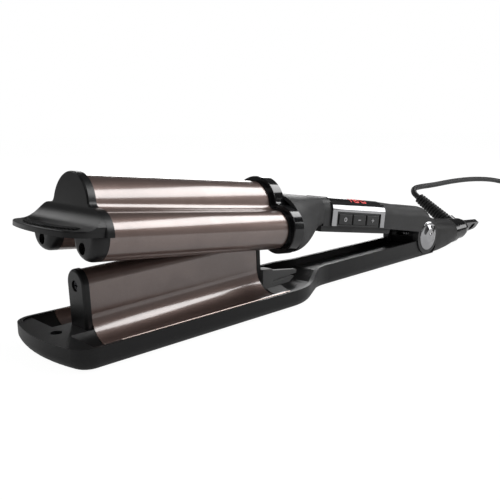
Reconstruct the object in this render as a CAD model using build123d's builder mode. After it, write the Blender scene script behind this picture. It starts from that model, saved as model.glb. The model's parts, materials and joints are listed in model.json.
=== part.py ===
from build123d import *
from math import atan2, cos, pi, radians, sin, sqrt, tan
import os

# Hair waver with two hinged arms, a deep wave plate in each, and a swivel cord.
# Millimetres, +Z up.  The tool lies on its lower arm: nose towards -X, tail and cord towards +X.
# The control panel faces -Y.  X is written from the hinge pin's axis, which lies at hinge_x.

# ---- overall -----------------------------------------------------------------------------
nose_reach = 278.0          # hinge axis to the front of the lower arm
tail_reach = 100.0          # hinge axis to the tip of the hanging loop
hinge_height = 15.0         # hinge axis above the table
open_angle = 5.6            # slope of the open upper arm, degrees
plate_slope = 1.4           # slope of the lower wave plate towards the nose, degrees
hinge_x = (nose_reach - tail_reach) / 2
running_gap = 0.4           # between parts of the two arms that pass each other
seat_gap = 0.15             # between a piece and the pocket it is dropped into
pin_fit = 0.04              # radial clearance of a turning fit

# ---- wave plates -------------------------------------------------------------------------
plate_front = -259.6        # upper plate, front end
hump_radius = 13.4          # outside of the upper plate's middle hump
hump_height = 19.4          # hump centre above the hinge axis, along the upper arm
lobe_radius = 9.9           # outside of each of the two lobes that press into the troughs
lobe_inset = 12.1           # lobe centre from the lower arm's side
lobe_height = 9.2           # lobe centre above the hinge axis, along the upper arm
crease_radius = 4.0         # fillet between hump and lobe
groove_top = 28.5           # top of the groove between the lobes
plate_wall = 1.6
lower_plate_front = -255.7
lower_plate_rear = -158.8
ridge_half = 6.2            # half width of the ridge of the lower plate
ridge_top = 24.8            # ridge top above the hinge axis, square to the lower plate
trough_radius = 11.5
trough_height = 6.3         # centre of the trough arcs above the hinge axis

# ---- lower arm ---------------------------------------------------------------------------
base_width = 59.6
rim_height = 9.4
nose_bow = 5.2              # how far the nose bows forward of its corners
nose_corner = 9.0
shoulder_front = -145.0     # the wide part narrows from here
shoulder_rear = -116.0      # to the slender arm here
shoulder_round = 30.0
arm_width = 26.4
arm_rim = 12.6
arm_rise = 24.0             # length over which the rim climbs to the slender arm
shell_wall = 1.8
floor_wall = 1.6
bottom_round = 4.8
deck_drop = 0.5             # nose deck below the rim
deck_wall = 1.4
recess_gap = 1.3            # between the lobe ends and the front of their recesses in the nose deck
deck_screw_inset = 9.3      # deck screw from the front of the nose
screw_head = 2.3
screw_shank = 1.2
head_edge = 0.4             # bevel round a screw's head
ridge_cap_length = 3.0
ridge_cap_proud = 0.5       # black caps stand proud of the plate
ridge_plug = 5.0            # length of the cap's plug inside the ridge
anchor_length = 3.6
heater_thick = 5.0
heater_height = 15.0
clip_wall = 0.8
bulkhead_length = 2.3
bulkhead_proud = 0.3
bulkhead_dip = 1.9          # its troughs are this much deeper, to clear the collar
shield_gap = 4.6            # between the bulkhead and the shield's block
shield_block = 8.6
shield_width = 7.0
shield_height = 18.0
scoop_radius = 14.0
scoop_wall = 0.9
scoop_length = 11.0
scoop_rise = 2.6             # height of the scoops
fin_tip = -121.0            # rear end of the shield's fin
fin_height = 9.4
fin_thick = 2.6
liner_height = 8.2          # top of the liner of the slender arm
knuckle_radius = 10.2
knuckle_width = 19.0
knuckle_foot = 9.0          # height of the web under the knuckle
spring_radius = 5.4         # mean radius of the hinge spring
spring_wire = 1.5
spring_pocket = 9.6
tail_end = 51.0             # rear end of the tail housing
tail_radius = 9.6
tail_axis = 10.0            # height of the tail's axis above the table
tail_top = 23.0
tail_width = 25.4
tail_round = 6.0
tail_ring_end = 58.0
pin_radius = 3.0

# ---- upper arm ---------------------------------------------------------------------------
handle_width = 28.0
handle_wall = 1.9
boss_radius = 12.7          # cheeks around the hinge
neck_start = -150.6         # rear face of the collar
neck_length = 35.6          # from the collar to the slender grip
collar_length = 6.8
collar_lip = 0.75           # collar wall inside the groove
collar_floor = 2.4          # rear wall of the collar that the plate stops against
grip_top_front = 25.5       # top of the grip above the hinge axis, along the upper arm
grip_top_mid = 22.8
grip_top_rear = 20.2
grip_round = 7.0
grip_break = -58.0          # the straight top in front of here carries the panel
grip_heel = (9.0, 8.8)      # where the top of the grip runs into the hinge boss
grip_toe = (-12.3, 3.1)     # where its lower edge does
grip_rise = 2.9             # the lower edge is this much higher at the neck
core_rear = -19.0           # rear end of the hollow grip
fork_front = -16.0
fork_top = 13.0
slot_half = 7.2             # slot under the neck that clears the heat shield
slot_length = 28.6
slot_height = 12.0
cover_plate = 1.6           # thickness of the grip cover where it is flush
cover_screw_places = (-50.0, -109.5)
screw_boss = 2.6
collar_grow = 2.6           # collar beyond the plate
ring_length = 2.0           # heat break between plate and collar
ring_grow = 0.5
cap_grow = 1.3              # front cap beyond the plate
cap_front = -262.0
cap_wall = 1.7
cap_lap = 1.4               # skirt of the front cap over the plate's end
cap_spigot = 6.0            # how far the lobe ends reach into the plate
bar_width = 12.0            # ceramic heater bars
bar_thick = 2.6
wedge_height = 4.2
tongue_top = 12.6
tongue_sweep = 8.0          # hollow from the tongue up to the bell plate
tongue_thick = 2.5
tongue_reach = 16.8         # from the bell plate to the tip
tongue_half = 27.8
tongue_bow = 90.0           # radius of the tongue's front
tongue_corner = 9.0
tongue_edge = 0.7
cap_fit = 0.12              # front cap around the plate
cap_edge = 0.7
rib_count = 27
rib_height = 0.5
rib_width = 0.7
rib_length = 6.4
rib_pitch_angle = 2.6       # angle between two ribs, which fan out towards the tip
rib_centre = 42.0           # the ribs' lines meet this far behind the tip
lobe_cap_reach = 3.5        # the lobe ends stand this far in front of the bell plate
lobe_cap_round = 4.0
lobe_screw_place = (17.0, 4.6)      # from the middle plane and the hinge axis
lobe_screw_sink = 3.0
grip_floor = 6.6            # lower edge of the grip shell
cover_drop = 3.4            # grip cover below the grip shell
step_rear = -46.0           # rear end of the cover's thick step
cover_rear = -20.5
cover_round = 1.2
screw_sink = 2.0            # depth of the recess for the cover's screws
cover_screw_length = 9.0
cap_dome_radius = 10.2      # bright hinge cap
dome_rim = 0.9
dome_step = 0.8
dome_height = 2.3
dome_round = 1.2

# ---- control panel -----------------------------------------------------------------------
panel_start = -108.5
panel_end = -56.0
panel_rise = 1.0            # bright frame proud of the grip
bezel_sink = 1.1            # frame and panel let into the grip
bezel_end = 4.3             # end bars of the frame
bezel_low = -15.7           # heights below are measured down from the top of the grip
frame_lean = 43.0           # the frame ends this far up the grip's round corner, degrees
window_high = -7.3
panel_proud = 0.3
button_width = 12.4
button_height = 6.2
button_level = -11.7        # middle of the buttons
button_gap = 1.3
button_proud = 0.9
button_travel = 0.6
key_round = 0.5
key_flange = 0.45           # lip that keeps a key behind the panel
stem_width = 2.4
stem_length = 0.8
switch_width = 3.6
switch_thick = 1.5
plunger_length = 0.5
board_thick = 1.4
board_length = 48.0
board_low = -13.6
board_high = -4.5
glass_length = 50.0         # display window round the grip's corner
glass_far = 6.8
glass_thick = 1.0
glass_proud = 0.3
view_length = 32.0          # opening in the grip under the window
view_near = -3.8
view_far = 4.8
module_length = 36.0
module_thick = 3.4

# ---- swivel and cord -------------------------------------------------------------------------
swivel_radius = 8.0
swivel_neck = 6.9
flange_length = 3.6
bore_radius = 3.0
swivel_end = 75.0
boot_x = 66.0               # strain relief, from the hinge axis
boot_lift = 33.5            # its slope above the table, degrees
boot_root = 6.6             # distance of its root from the tail's axis
boot_seat = 2.6             # length of its plug in the socket
boot_plug = 4.4
boot_length = 33.1
boot_base_radius = 5.4
boot_tip_radius = 4.1
boot_ribs = 11
boot_lip = 2.4              # smooth end at the tip
boot_core = 3.7             # radius left under the slots
boot_core_taper = 0.07
boot_band = 3.2             # solid band between the slots of a rib
rib_slot = 1.1
loop_thick = 3.4
loop_base = 12.0
loop_tip = 7.0
loop_hole = 3.2
loop_hole_inset = 9.0       # hole's centre from the loop's tip
loop_stem = 2.0
loop_root = 6.0
cord_diameter = 4.5
cord_length = 1800.0
coil_x = 195.0              # centre of the coil, from the hinge axis
coil_y = -20.0
coil_radius = 25.0          # of its middle turn
coil_band = 18.0
coil_height = 12.8
plug_height = 6.85          # the plug lies flat; its axis is this far above the table
plug_width = 26.0
plug_length = 26.0
plug_neck = 9.0             # strain relief of the plug
plug_pin = 4.0
plug_pin_length = 19.0
plug_pin_root = 6.0
pin_shank = 3.2             # thinner root of a pin, moulded into the plug
pin_shoulder = 0.4          # a pin's full diameter starts this far in front of the plug
pin_pitch = 18.6


# ---- frames and planes -------------------------------------------------------------------
def tilted(angle):
    """A frame at the hinge axis whose X axis dips towards the tail by an angle in degrees."""
    a = radians(angle)
    return Plane(origin=(hinge_x, 0, hinge_height), x_dir=(cos(a), 0, -sin(a)), z_dir=(sin(a), 0, cos(a)))


def across(frame, x):
    """A plane square to a frame's X axis at x: local x is Y, local y is the frame's Z."""
    return Plane(origin=frame.from_local_coords((x, 0, 0)), x_dir=(0, 1, 0), z_dir=frame.x_dir)


def beside(frame, y=0):
    """A plane along a frame's X and Z axes that faces -Y."""
    return Plane(origin=frame.from_local_coords((0, y, 0)), x_dir=frame.x_dir, z_dir=(0, -1, 0))


def level(frame, z):
    """A plane along a frame's X and Y axes at height z."""
    return Plane(origin=frame.from_local_coords((0, 0, z)), x_dir=frame.x_dir, z_dir=frame.z_dir)


neck_end = neck_start + neck_length
lobe_spread = base_width / 2 - lobe_inset        # lobe centre from the middle plane
plate_rear = neck_start - collar_floor           # the upper plate stops against the collar's rear wall
lobe_cap_front = cap_front - lobe_cap_reach
base = tilted(0)
lower_bed = tilted(-plate_slope)
upper = tilted(open_angle)
table = -hinge_height       # the table's height in the base frame

os.makedirs("parts", exist_ok=True)


def save(builder, name):
    """Labels a finished piece and writes it under its name."""
    builder.part.label = name
    export_step(builder.part, f"parts/{name}.step")


# ---- profiles ----------------------------------------------------------------------------
def wave_profile(grow=0.0, groove_grow=0.0):
    """Section of the upper arm's M form, grown outwards, and inwards into the groove for the ridge."""
    hump = hump_radius + grow
    lobe = lobe_radius + grow
    crease = crease_radius - grow / 2
    half = lobe_spread - lobe_radius - groove_grow
    crown = groove_top - groove_grow - half
    foot = lobe_height - sqrt(max(0.0, lobe**2 - (lobe_spread - half) ** 2))
    # the crease arc touches both circles from outside: its centre lies where the grown circles meet
    hump_centre = Vector(0, hump_height)
    lobe_centre = Vector(lobe_spread, lobe_height)
    between = lobe_centre - hump_centre
    along = ((hump + crease) ** 2 - (lobe + crease) ** 2 + between.length**2) / (2 * between.length)
    aside = sqrt((hump + crease) ** 2 - along**2)
    unit = between.normalized()
    crease_centre = hump_centre + unit * along + Vector(-unit.Y, unit.X) * aside
    on_hump = hump_centre + (crease_centre - hump_centre) * (hump / (hump + crease))
    on_lobe = lobe_centre + (crease_centre - lobe_centre) * (lobe / (lobe + crease))
    middle = crease_centre + ((on_hump + on_lobe) / 2 - crease_centre).normalized() * crease
    shoulder = hump_centre + (on_hump - hump_centre + Vector(0, hump)).normalized() * hump
    with BuildSketch() as profile:
        with BuildLine() as line:
            ThreePointArc((0, crown + half), (half * sqrt(0.5), crown + half * sqrt(0.5)), (half, crown))
            Line((half, crown), (half, foot))
            ThreePointArc((half, foot), lobe_centre + Vector(1, -1) * (lobe * sqrt(0.5)), on_lobe)
            ThreePointArc(on_lobe, middle, on_hump)
            ThreePointArc(on_hump, shoulder, (0, hump_height + hump))
            mirror(line.edges(), about=Plane.YZ)
        make_face()
    return profile.sketch


def ridge_profile(skin=0.0, above=0.0, dip=0.0):
    """Closed section of the ridge and troughs down to a flat, lowered by skin or raised; dip deepens the troughs."""
    half = ridge_half - skin + above
    arc = trough_radius + skin - above + dip
    foot = trough_height - sqrt(max(0.0, arc**2 - (lobe_spread - half) ** 2))
    crown = ridge_top - ridge_half
    edge = base_width / 2 - shell_wall - seat_gap
    edge_height = trough_height - sqrt(arc**2 - (edge - lobe_spread) ** 2)
    bottom = trough_height - trough_radius - 3 * plate_wall
    with BuildSketch() as profile:
        with BuildLine() as line:
            Line((0, bottom), (edge, bottom))
            Line((edge, bottom), (edge, edge_height))
            ThreePointArc((edge, edge_height), (lobe_spread, trough_height - arc), (half, foot))
            Line((half, foot), (half, crown))
            ThreePointArc((half, crown), (half * sqrt(0.5), crown + half * sqrt(0.5)), (0, crown + half))
            mirror(line.edges(), about=Plane.YZ)
        make_face()
    return profile.sketch


def plan_outline(inset):
    """Plan of the lower arm's shell from the nose to the hinge, inset from its outer wall."""
    half = base_width / 2 - inset
    slim = arm_width / 2 - inset
    front = nose_bow + inset - nose_reach
    flare = shoulder_front - inset / 2
    neck = shoulder_rear - inset / 2
    with BuildSketch() as plan:
        with BuildLine():
            ThreePointArc((front, -half), (front - nose_bow, 0), (front, half))
            Polyline((front, half), (flare, half), (neck, slim), (0, slim))
            Line((0, slim), (0, -slim))
            Polyline((0, -slim), (neck, -slim), (flare, -half), (front, -half))
        make_face()
        fillet(plan.vertices().group_by(Axis.X)[0], nose_corner - inset)
        fillet(plan.vertices().filter_by(lambda v: abs(v.X - flare) < 0.01), shoulder_round - inset)
        fillet(plan.vertices().filter_by(lambda v: abs(v.X - neck) < 0.01), shoulder_round + inset)
    return plan.sketch


# ---- lower shell: boat-shaped tray, slender arm, knuckle and tail in one moulding ----------
tail_start = boss_radius + running_gap
knuckle_half = knuckle_width / 2
rise_start = shoulder_front + 5.0
web_reach = tail_start + 3.0        # the knuckle's web runs this far into the slender arm

with BuildPart() as tray:
    with BuildSketch(level(base, table)):
        add(plan_outline(0))
    extrude(amount=arm_rim)
    outer_foot = tray.faces().sort_by(Axis.Z)[0].edges().filter_by(lambda e: e.center().X < hinge_x - 2)
    fillet(outer_foot, bottom_round)
    with BuildSketch(level(base, table + floor_wall)):
        add(plan_outline(shell_wall))
    extrude(amount=arm_rim, mode=Mode.SUBTRACT)
    with BuildSketch(beside(base)):
        with BuildLine():
            Line((rise_start, table + rim_height), (-nose_reach - 1, table + rim_height))
            Line((-nose_reach - 1, table + rim_height), (-nose_reach - 1, table + arm_rim + 1))
            Line((-nose_reach - 1, table + arm_rim + 1), (rise_start + arm_rise, table + arm_rim + 1))
            Line((rise_start + arm_rise, table + arm_rim + 1), (rise_start + arm_rise, table + arm_rim))
            Spline(
                (rise_start + arm_rise, table + arm_rim), (rise_start, table + rim_height),
                tangents=((-1, 0), (-1, 0)),
            )
        make_face()
    extrude(amount=base_width, both=True, mode=Mode.SUBTRACT)

with BuildPart() as tail_body:
    with BuildSketch(across(base, tail_start)):
        with Locations((0, table + tail_top / 2)):
            RectangleRounded(tail_width, tail_top, tail_round)
    with BuildSketch(across(base, (tail_start + tail_end) / 2)):
        with Locations((0, table + (tail_top + 2 * tail_axis) / 4)):
            RectangleRounded(0.6 * tail_width + 0.8 * tail_radius, tail_top - 1, tail_round + 1.5)
    with BuildSketch(across(base, tail_end)):
        with Locations((0, table + tail_axis)):
            RectangleRounded(2 * tail_radius, 2 * tail_radius, tail_radius - 0.1)
    loft()

with BuildPart() as tail_hollow:
    with BuildSketch(across(base, tail_start + 2 * shell_wall)):
        with Locations((0, table + tail_top / 2)):
            RectangleRounded(tail_width - 2.6 * shell_wall, tail_top - 2.6 * shell_wall, tail_round - 1)
    with BuildSketch(across(base, tail_end)):
        with Locations((0, table + tail_axis)):
            Circle(tail_radius - shell_wall)
    loft()

with BuildPart() as lower_shell:
    add(tray.part)
    with BuildSketch(beside(base)):
        Circle(boss_radius + running_gap)
        with Locations((boss_radius, 0)):
            Rectangle(2 * boss_radius, 4 * boss_radius)
    extrude(amount=arm_width, both=True, mode=Mode.SUBTRACT)
    with BuildSketch(beside(base)):
        Circle(knuckle_radius)
        with Locations((0, table + knuckle_foot / 2)):
            Rectangle(2 * web_reach, knuckle_foot)
    extrude(amount=knuckle_half, both=True)
    add(tail_body.part)
    add(tail_hollow.part, mode=Mode.SUBTRACT)
    with BuildSketch(beside(base)):
        Circle(pin_radius + pin_fit)
    extrude(amount=knuckle_half, both=True, mode=Mode.SUBTRACT)
    with BuildSketch(beside(base)):
        Circle(spring_radius + spring_wire / 2 + running_gap)
        with Locations((-knuckle_radius / 2, knuckle_radius / 2)):
            Rectangle(knuckle_radius, knuckle_radius)
    extrude(amount=spring_pocket / 2, both=True, mode=Mode.SUBTRACT)
save(lower_shell, "lower_shell")

# ---- nose deck with the two recesses that take the lobe ends -------------------------------
deck_inset = shell_wall + seat_gap
deck_top = rim_height - deck_drop
deck_rear = lower_plate_front - seat_gap
deck_screw_x = deck_screw_inset - nose_reach

with BuildPart() as lower_deck:
    with BuildSketch(level(base, table + floor_wall + seat_gap)):
        add(plan_outline(deck_inset))
    extrude(amount=deck_top - floor_wall - seat_gap)
    with BuildSketch(across(base, deck_rear)):
        Rectangle(2 * base_width, 4 * rim_height + 2 * hinge_height)
    extrude(amount=nose_reach, mode=Mode.SUBTRACT)
    for side in (-1, 1):
        with BuildSketch(across(lower_bed, deck_rear + 1)):
            with Locations((side * lobe_spread, trough_height)):
                Circle(trough_radius)
        extrude(amount=lobe_cap_front - recess_gap - deck_rear - 1, mode=Mode.SUBTRACT)
    with BuildSketch(level(base, table + deck_top)):
        with Locations((deck_screw_x, 0)):
            Circle(screw_head + seat_gap)
    extrude(amount=-2 * deck_wall, mode=Mode.SUBTRACT)
    with BuildSketch(level(base, table + deck_top)):
        with Locations((deck_screw_x, 0)):
            Circle(screw_shank + pin_fit)
    extrude(amount=-deck_top, mode=Mode.SUBTRACT)
save(lower_deck, "lower_deck")


def screw(plane, length, head=None, shank=None, head_height=1.4):
    """A pan-head screw with a cross recess whose head stands on a plane and points against it."""
    head = screw_head if head is None else head
    shank = screw_shank if shank is None else shank
    with BuildPart() as body:
        with BuildSketch(plane):
            Circle(head)
        extrude(amount=head_height)
        chamfer(body.faces().sort_by(lambda f: -abs(plane.to_local_coords(f.center()).Z))[0].edges(), head_edge)
        with BuildSketch(plane):
            Circle(shank)
        extrude(amount=-length)
        with BuildSketch(plane.offset(head_height)):
            Rectangle(1.2 * head, 0.3 * head)
            Rectangle(0.3 * head, 1.2 * head)
        extrude(amount=-0.6 * head_height, mode=Mode.SUBTRACT)
    return body.part


# ---- lower wave plate: ridge between two troughs -------------------------------------------
plate_rim = rim_height - 0.3

with BuildPart() as lower_wave_plate:
    with BuildSketch(across(lower_bed, lower_plate_front)):
        add(ridge_profile())
    extrude(amount=lower_plate_rear - lower_plate_front)
    with BuildSketch(across(lower_bed, lower_plate_front - 1)):
        add(ridge_profile(skin=plate_wall))
    extrude(amount=lower_plate_rear - lower_plate_front + 2, mode=Mode.SUBTRACT)
    for side in (-1, 1):
        with BuildSketch(level(base, table + plate_rim)):
            with Locations(((lower_plate_front + lower_plate_rear) / 2, side * base_width / 2)):
                Rectangle(2 * nose_reach, 2 * (base_width / 2 - lobe_spread))
        extrude(amount=base_width, mode=Mode.SUBTRACT)
save(lower_wave_plate, "lower_wave_plate")

# ---- inside the ridge: ceramic heater in its clip, with the sensor behind it ---------------
ridge_inside = ridge_half - plate_wall
heater_front = lower_plate_front + ridge_plug + 4.0
heater_rear = lower_plate_rear - 6.0
heater_low = ridge_top - ridge_half - heater_height

with BuildPart() as lower_heater:
    with BuildSketch(across(lower_bed, heater_front)):
        with Locations((0, heater_low + heater_height / 2)):
            RectangleRounded(heater_thick, heater_height, 0.6)
    extrude(amount=heater_rear - heater_front)
save(lower_heater, "lower_heater")

with BuildPart() as lower_heater_clip:
    with BuildSketch(across(lower_bed, heater_front)):
        with Locations((0, heater_low + heater_height / 2)):
            RectangleRounded(2 * (ridge_inside - seat_gap), heater_height + 2 * clip_wall, 1.0)
            Rectangle(heater_thick + 2 * seat_gap, heater_height + 2 * seat_gap, mode=Mode.SUBTRACT)
    extrude(amount=heater_rear - heater_front)
save(lower_heater_clip, "lower_heater_clip")

# ---- black cap on the front of the ridge, its screw and its anchor ---------------------------
ridge_cap_front = lower_plate_front - ridge_cap_length
cap_screw_height = ridge_top - ridge_half - 0.5

with BuildPart() as ridge_front_cap:
    with BuildSketch(across(lower_bed, ridge_cap_front)):
        add(ridge_profile(above=ridge_cap_proud))
    extrude(amount=ridge_cap_length)
    with BuildSketch(across(lower_bed, ridge_cap_front - 1)):
        for side in (-1, 1):
            with Locations((side * (ridge_half + ridge_cap_proud + base_width / 2), 0)):
                Rectangle(base_width, 4 * ridge_top)
    extrude(amount=ridge_cap_length + 2, mode=Mode.SUBTRACT)
    with BuildSketch(level(base, table + deck_top)):
        Rectangle(3 * nose_reach, base_width)
    extrude(amount=-base_width, mode=Mode.SUBTRACT)
    front_rim = ridge_front_cap.faces().sort_by(Axis.X)[0].edges().filter_by(lambda e: e.center().Z > deck_top + 1)
    fillet(front_rim, 1.2)
    with BuildSketch(across(lower_bed, lower_plate_front)):
        with Locations((0, ridge_top - ridge_half)):
            Circle(ridge_inside - seat_gap)
        with Locations((0, (ridge_top - ridge_half) / 2 + 1)):
            Rectangle(2 * (ridge_inside - seat_gap), ridge_top - ridge_half - 2)
    extrude(amount=ridge_plug)
    with BuildSketch(across(lower_bed, ridge_cap_front)):
        with Locations((0, cap_screw_height)):
            Circle(screw_head + seat_gap)
    extrude(amount=2.0, mode=Mode.SUBTRACT)
    with BuildSketch(across(lower_bed, ridge_cap_front)):
        with Locations((0, cap_screw_height)):
            Circle(screw_shank + pin_fit)
    extrude(amount=ridge_cap_length + ridge_plug + 1, mode=Mode.SUBTRACT)
save(ridge_front_cap, "ridge_front_cap")

with BuildPart() as ridge_anchor:
    with BuildSketch(across(lower_bed, lower_plate_front + ridge_plug)):
        with Locations((0, ridge_top - ridge_half)):
            Circle(ridge_inside - seat_gap)
        with Locations((0, cap_screw_height)):
            Circle(screw_shank + pin_fit, mode=Mode.SUBTRACT)
    extrude(amount=anchor_length)
save(ridge_anchor, "ridge_anchor")

cap_screw_plane = across(lower_bed, ridge_cap_front + 2.0)
cap_screw_seat = Plane(
    origin=cap_screw_plane.from_local_coords((0, cap_screw_height, 0)),
    x_dir=(0, 1, 0), z_dir=-cap_screw_plane.z_dir,
)
with BuildPart() as ridge_cap_screw:
    add(screw(cap_screw_seat, ridge_cap_length + ridge_plug + 1.2))
save(ridge_cap_screw, "ridge_cap_screw")

deck_screw_seat = Plane(origin=(hinge_x + deck_screw_x, 0, deck_top - 2 * deck_wall))
with BuildPart() as deck_screw:
    add(screw(deck_screw_seat, deck_top - 2 * deck_wall - floor_wall - 0.2))
save(deck_screw, "deck_screw")

# ---- rear end of the lower plate: bulkhead, heat shield and liner --------------------------
bulkhead_rear = lower_plate_rear + bulkhead_length
# the bulkhead leans with the plate, so its foot stands further back than its top
foot_rear = bulkhead_rear + (hinge_height + bulkhead_proud) * tan(radians(plate_slope))

with BuildPart() as ridge_rear_cap:
    with BuildSketch(across(lower_bed, lower_plate_rear)):
        add(ridge_profile(above=bulkhead_proud, dip=bulkhead_dip))
    extrude(amount=bulkhead_length)
    with BuildSketch(level(base, table + plate_rim)):
        with Locations((lower_plate_rear, base_width / 2), (lower_plate_rear, -base_width / 2)):
            Rectangle(2 * nose_reach, 2 * (base_width / 2 - lobe_spread))
    extrude(amount=base_width, mode=Mode.SUBTRACT)
    with BuildSketch(level(base, table + floor_wall + seat_gap)):
        Rectangle(3 * nose_reach, base_width)
    extrude(amount=-base_width, mode=Mode.SUBTRACT)
save(ridge_rear_cap, "ridge_rear_cap")

well_floor = 4.4            # liner height in the wide part, above the table
liner_wall = 1.3
liner_front = foot_rear + seat_gap
liner_rear = -web_reach - seat_gap
ramp_front = shoulder_rear - 6
ramp_rear = shoulder_rear + 6

with BuildPart() as arm_liner:
    with BuildSketch(beside(base)):
        with BuildLine():
            Polyline(
                (liner_front, table + well_floor), (ramp_front, table + well_floor),
                (ramp_rear, table + liner_height), (liner_rear, table + liner_height),
                (liner_rear, table + liner_height - liner_wall),
                (ramp_rear + liner_wall / 2, table + liner_height - liner_wall),
                (ramp_front + liner_wall / 2, table + well_floor - liner_wall),
                (liner_front, table + well_floor - liner_wall),
                (liner_front, table + well_floor),
            )
        make_face()
    extrude(amount=base_width / 2, both=True)
    with BuildSketch(level(base, table)):
        add(plan_outline(deck_inset))
    extrude(amount=arm_rim, mode=Mode.INTERSECT)
save(arm_liner, "arm_liner")

shield_front = bulkhead_rear + shield_gap
shield_rear = shield_front + shield_block

with BuildPart() as heat_shield:
    with BuildSketch(beside(base)):
        with BuildLine():
            Polyline(
                (shield_front, table + well_floor), (shield_rear, table + well_floor),
                (shield_rear, table + shield_height - 4), (shield_front, table + shield_height),
                (shield_front, table + well_floor),
            )
        make_face()
    extrude(amount=shield_width / 2, both=True)
    with BuildSketch(beside(base)):
        with BuildLine():
            Polyline(
                (shield_rear - 1, table + well_floor), (ramp_front, table + well_floor),
                (fin_tip, table + fin_height), (shield_rear - 1, table + shield_height - 5),
                (shield_rear - 1, table + well_floor),
            )
        make_face()
    extrude(amount=fin_thick / 2, both=True)
save(heat_shield, "heat_shield")

# ---- half-round scoops that carry the troughs on behind the bulkhead -------------------------
with BuildPart() as trough_scoops:
    with BuildSketch(across(base, liner_front)):
        for side in (-1, 1):
            with BuildSketch(mode=Mode.PRIVATE) as scoop_ring:
                Circle(scoop_radius + scoop_wall)
                Circle(scoop_radius, mode=Mode.SUBTRACT)
                with Locations((0, -scoop_radius - scoop_wall + scoop_rise / 2)):
                    Rectangle(4 * scoop_radius, scoop_rise, mode=Mode.INTERSECT)
            with Locations((side * lobe_spread, table + well_floor + scoop_radius + scoop_wall)):
                add(scoop_ring.sketch)
    extrude(amount=scoop_length)
    with BuildSketch(level(base, table)):
        add(plan_outline(deck_inset))
    extrude(amount=arm_rim, mode=Mode.INTERSECT)
save(trough_scoops, "trough_scoops")

# ---- hinge: pin, spring, bright caps --------------------------------------------------------
pin_length = handle_width - 1.0

with BuildPart() as hinge_pin:
    with BuildSketch(beside(base)):
        Circle(pin_radius)
    extrude(amount=pin_length / 2, both=True)
    chamfer(hinge_pin.edges().filter_by(GeomType.CIRCLE), 0.5)
save(hinge_pin, "hinge_pin")

spring_turns = 3
spring_pitch = spring_wire + 0.45
spring_length = spring_turns * spring_pitch

with BuildPart() as hinge_spring:
    with BuildLine():
        coil = Helix(
            spring_pitch, spring_length, spring_radius,
            center=(hinge_x, spring_length / 2, hinge_height), direction=(0, -1, 0),
        )
    with BuildSketch(Plane(origin=coil @ 0, z_dir=coil % 0)):
        Circle(spring_wire / 2)
    sweep()
save(hinge_spring, "hinge_spring")

with BuildPart() as hinge_caps:
    for side in (-1, 1):
        cheek = Plane(
            origin=base.from_local_coords((0, side * handle_width / 2, 0)), x_dir=(1, 0, 0), z_dir=(0, side, 0)
        )
        with BuildSketch(cheek):
            Circle(cap_dome_radius)
        extrude(amount=dome_rim)
        with BuildSketch(cheek.offset(dome_rim)):
            Circle(cap_dome_radius - dome_step)
        dome = extrude(amount=dome_height - dome_rim)
        fillet(dome.edges().filter_by(GeomType.CIRCLE).sort_by(lambda e: abs(e.center().Y))[-1], dome_round)
save(hinge_caps, "hinge_caps")

# ---- upper wave plate ------------------------------------------------------------------------
with BuildPart() as upper_wave_plate:
    with BuildSketch(across(upper, plate_front)):
        add(wave_profile())
        add(wave_profile(-plate_wall, -plate_wall), mode=Mode.SUBTRACT)
    extrude(amount=plate_rear - plate_front)
save(upper_wave_plate, "upper_wave_plate")

# ---- heaters in the two lobes: cradle below, ceramic bar, wedge above ------------------------
lobe_inside = lobe_radius - plate_wall - seat_gap
bar_front = plate_front + cap_spigot + 1.0
bar_length = plate_rear - 8.0 - bar_front


def lobe_pieces(low, high, half_width, name):
    """Two like pieces, one in each lobe, between two heights about the lobe's axis."""
    with BuildPart() as pieces:
        with BuildSketch(across(upper, bar_front)):
            for side in (-1, 1):
                with BuildSketch(mode=Mode.PRIVATE) as slice_of_lobe:
                    Circle(lobe_inside)
                    with Locations((0, (low + high) / 2)):
                        Rectangle(2 * half_width, high - low, mode=Mode.INTERSECT)
                with Locations((side * lobe_spread, lobe_height)):
                    add(slice_of_lobe.sketch)
        extrude(amount=bar_length)
    save(pieces, name)


lobe_pieces(-lobe_radius, -bar_thick / 2 - 0.05, lobe_radius, "heater_cradles")
lobe_pieces(-bar_thick / 2, bar_thick / 2, bar_width / 2, "upper_heaters")
lobe_pieces(bar_thick / 2 + 0.05, bar_thick / 2 + wedge_height, lobe_radius, "heater_wedges")

# ---- front cap: bell plate, skirt over the plate's end and ribbed thumb tongue ---------------
cap_floor = tongue_top - tongue_thick        # the tongue's underside is the whole cap's
cap_half = lobe_spread + lobe_radius + cap_grow
tongue_tip = cap_front - tongue_reach
sweep_front = cap_front - tongue_sweep
cap_root = 0.5                               # the tongue and its hollow start this far inside the bell plate


def bell_outline():
    """Cross section of the front cap: the wave form with its groove filled, cut level at the cap's floor."""
    with BuildSketch() as outline:
        add(wave_profile(cap_grow))
        with Locations((0, (cap_floor + groove_top) / 2)):
            Rectangle(2 * (lobe_spread - lobe_radius + 1), groove_top - cap_floor)
        with Locations((0, cap_floor + base_width / 2)):
            Rectangle(2 * base_width, base_width, mode=Mode.INTERSECT)
    return outline.sketch


def tongue_outline():
    """Plan of the thumb tongue: a bowed front with round corners, between two straight sides."""
    with BuildSketch() as plan:
        with Locations((tongue_tip + tongue_bow, 0)):
            Circle(tongue_bow)
        with Locations((tongue_tip + (tongue_reach + cap_root) / 2, 0)):
            Rectangle(tongue_reach + cap_root, 2 * tongue_half, mode=Mode.INTERSECT)
        fillet(plan.vertices().group_by(Axis.X)[0], tongue_corner)
    return plan.sketch


with BuildPart() as tongue:
    with BuildSketch(level(upper, cap_floor)):
        add(tongue_outline())
    extrude(amount=tongue_thick)
    top_rim = tongue.faces().sort_by(Axis.Z)[-1].edges().sort_by(Axis.X)[:-1]
    fillet(top_rim, tongue_edge)

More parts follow.
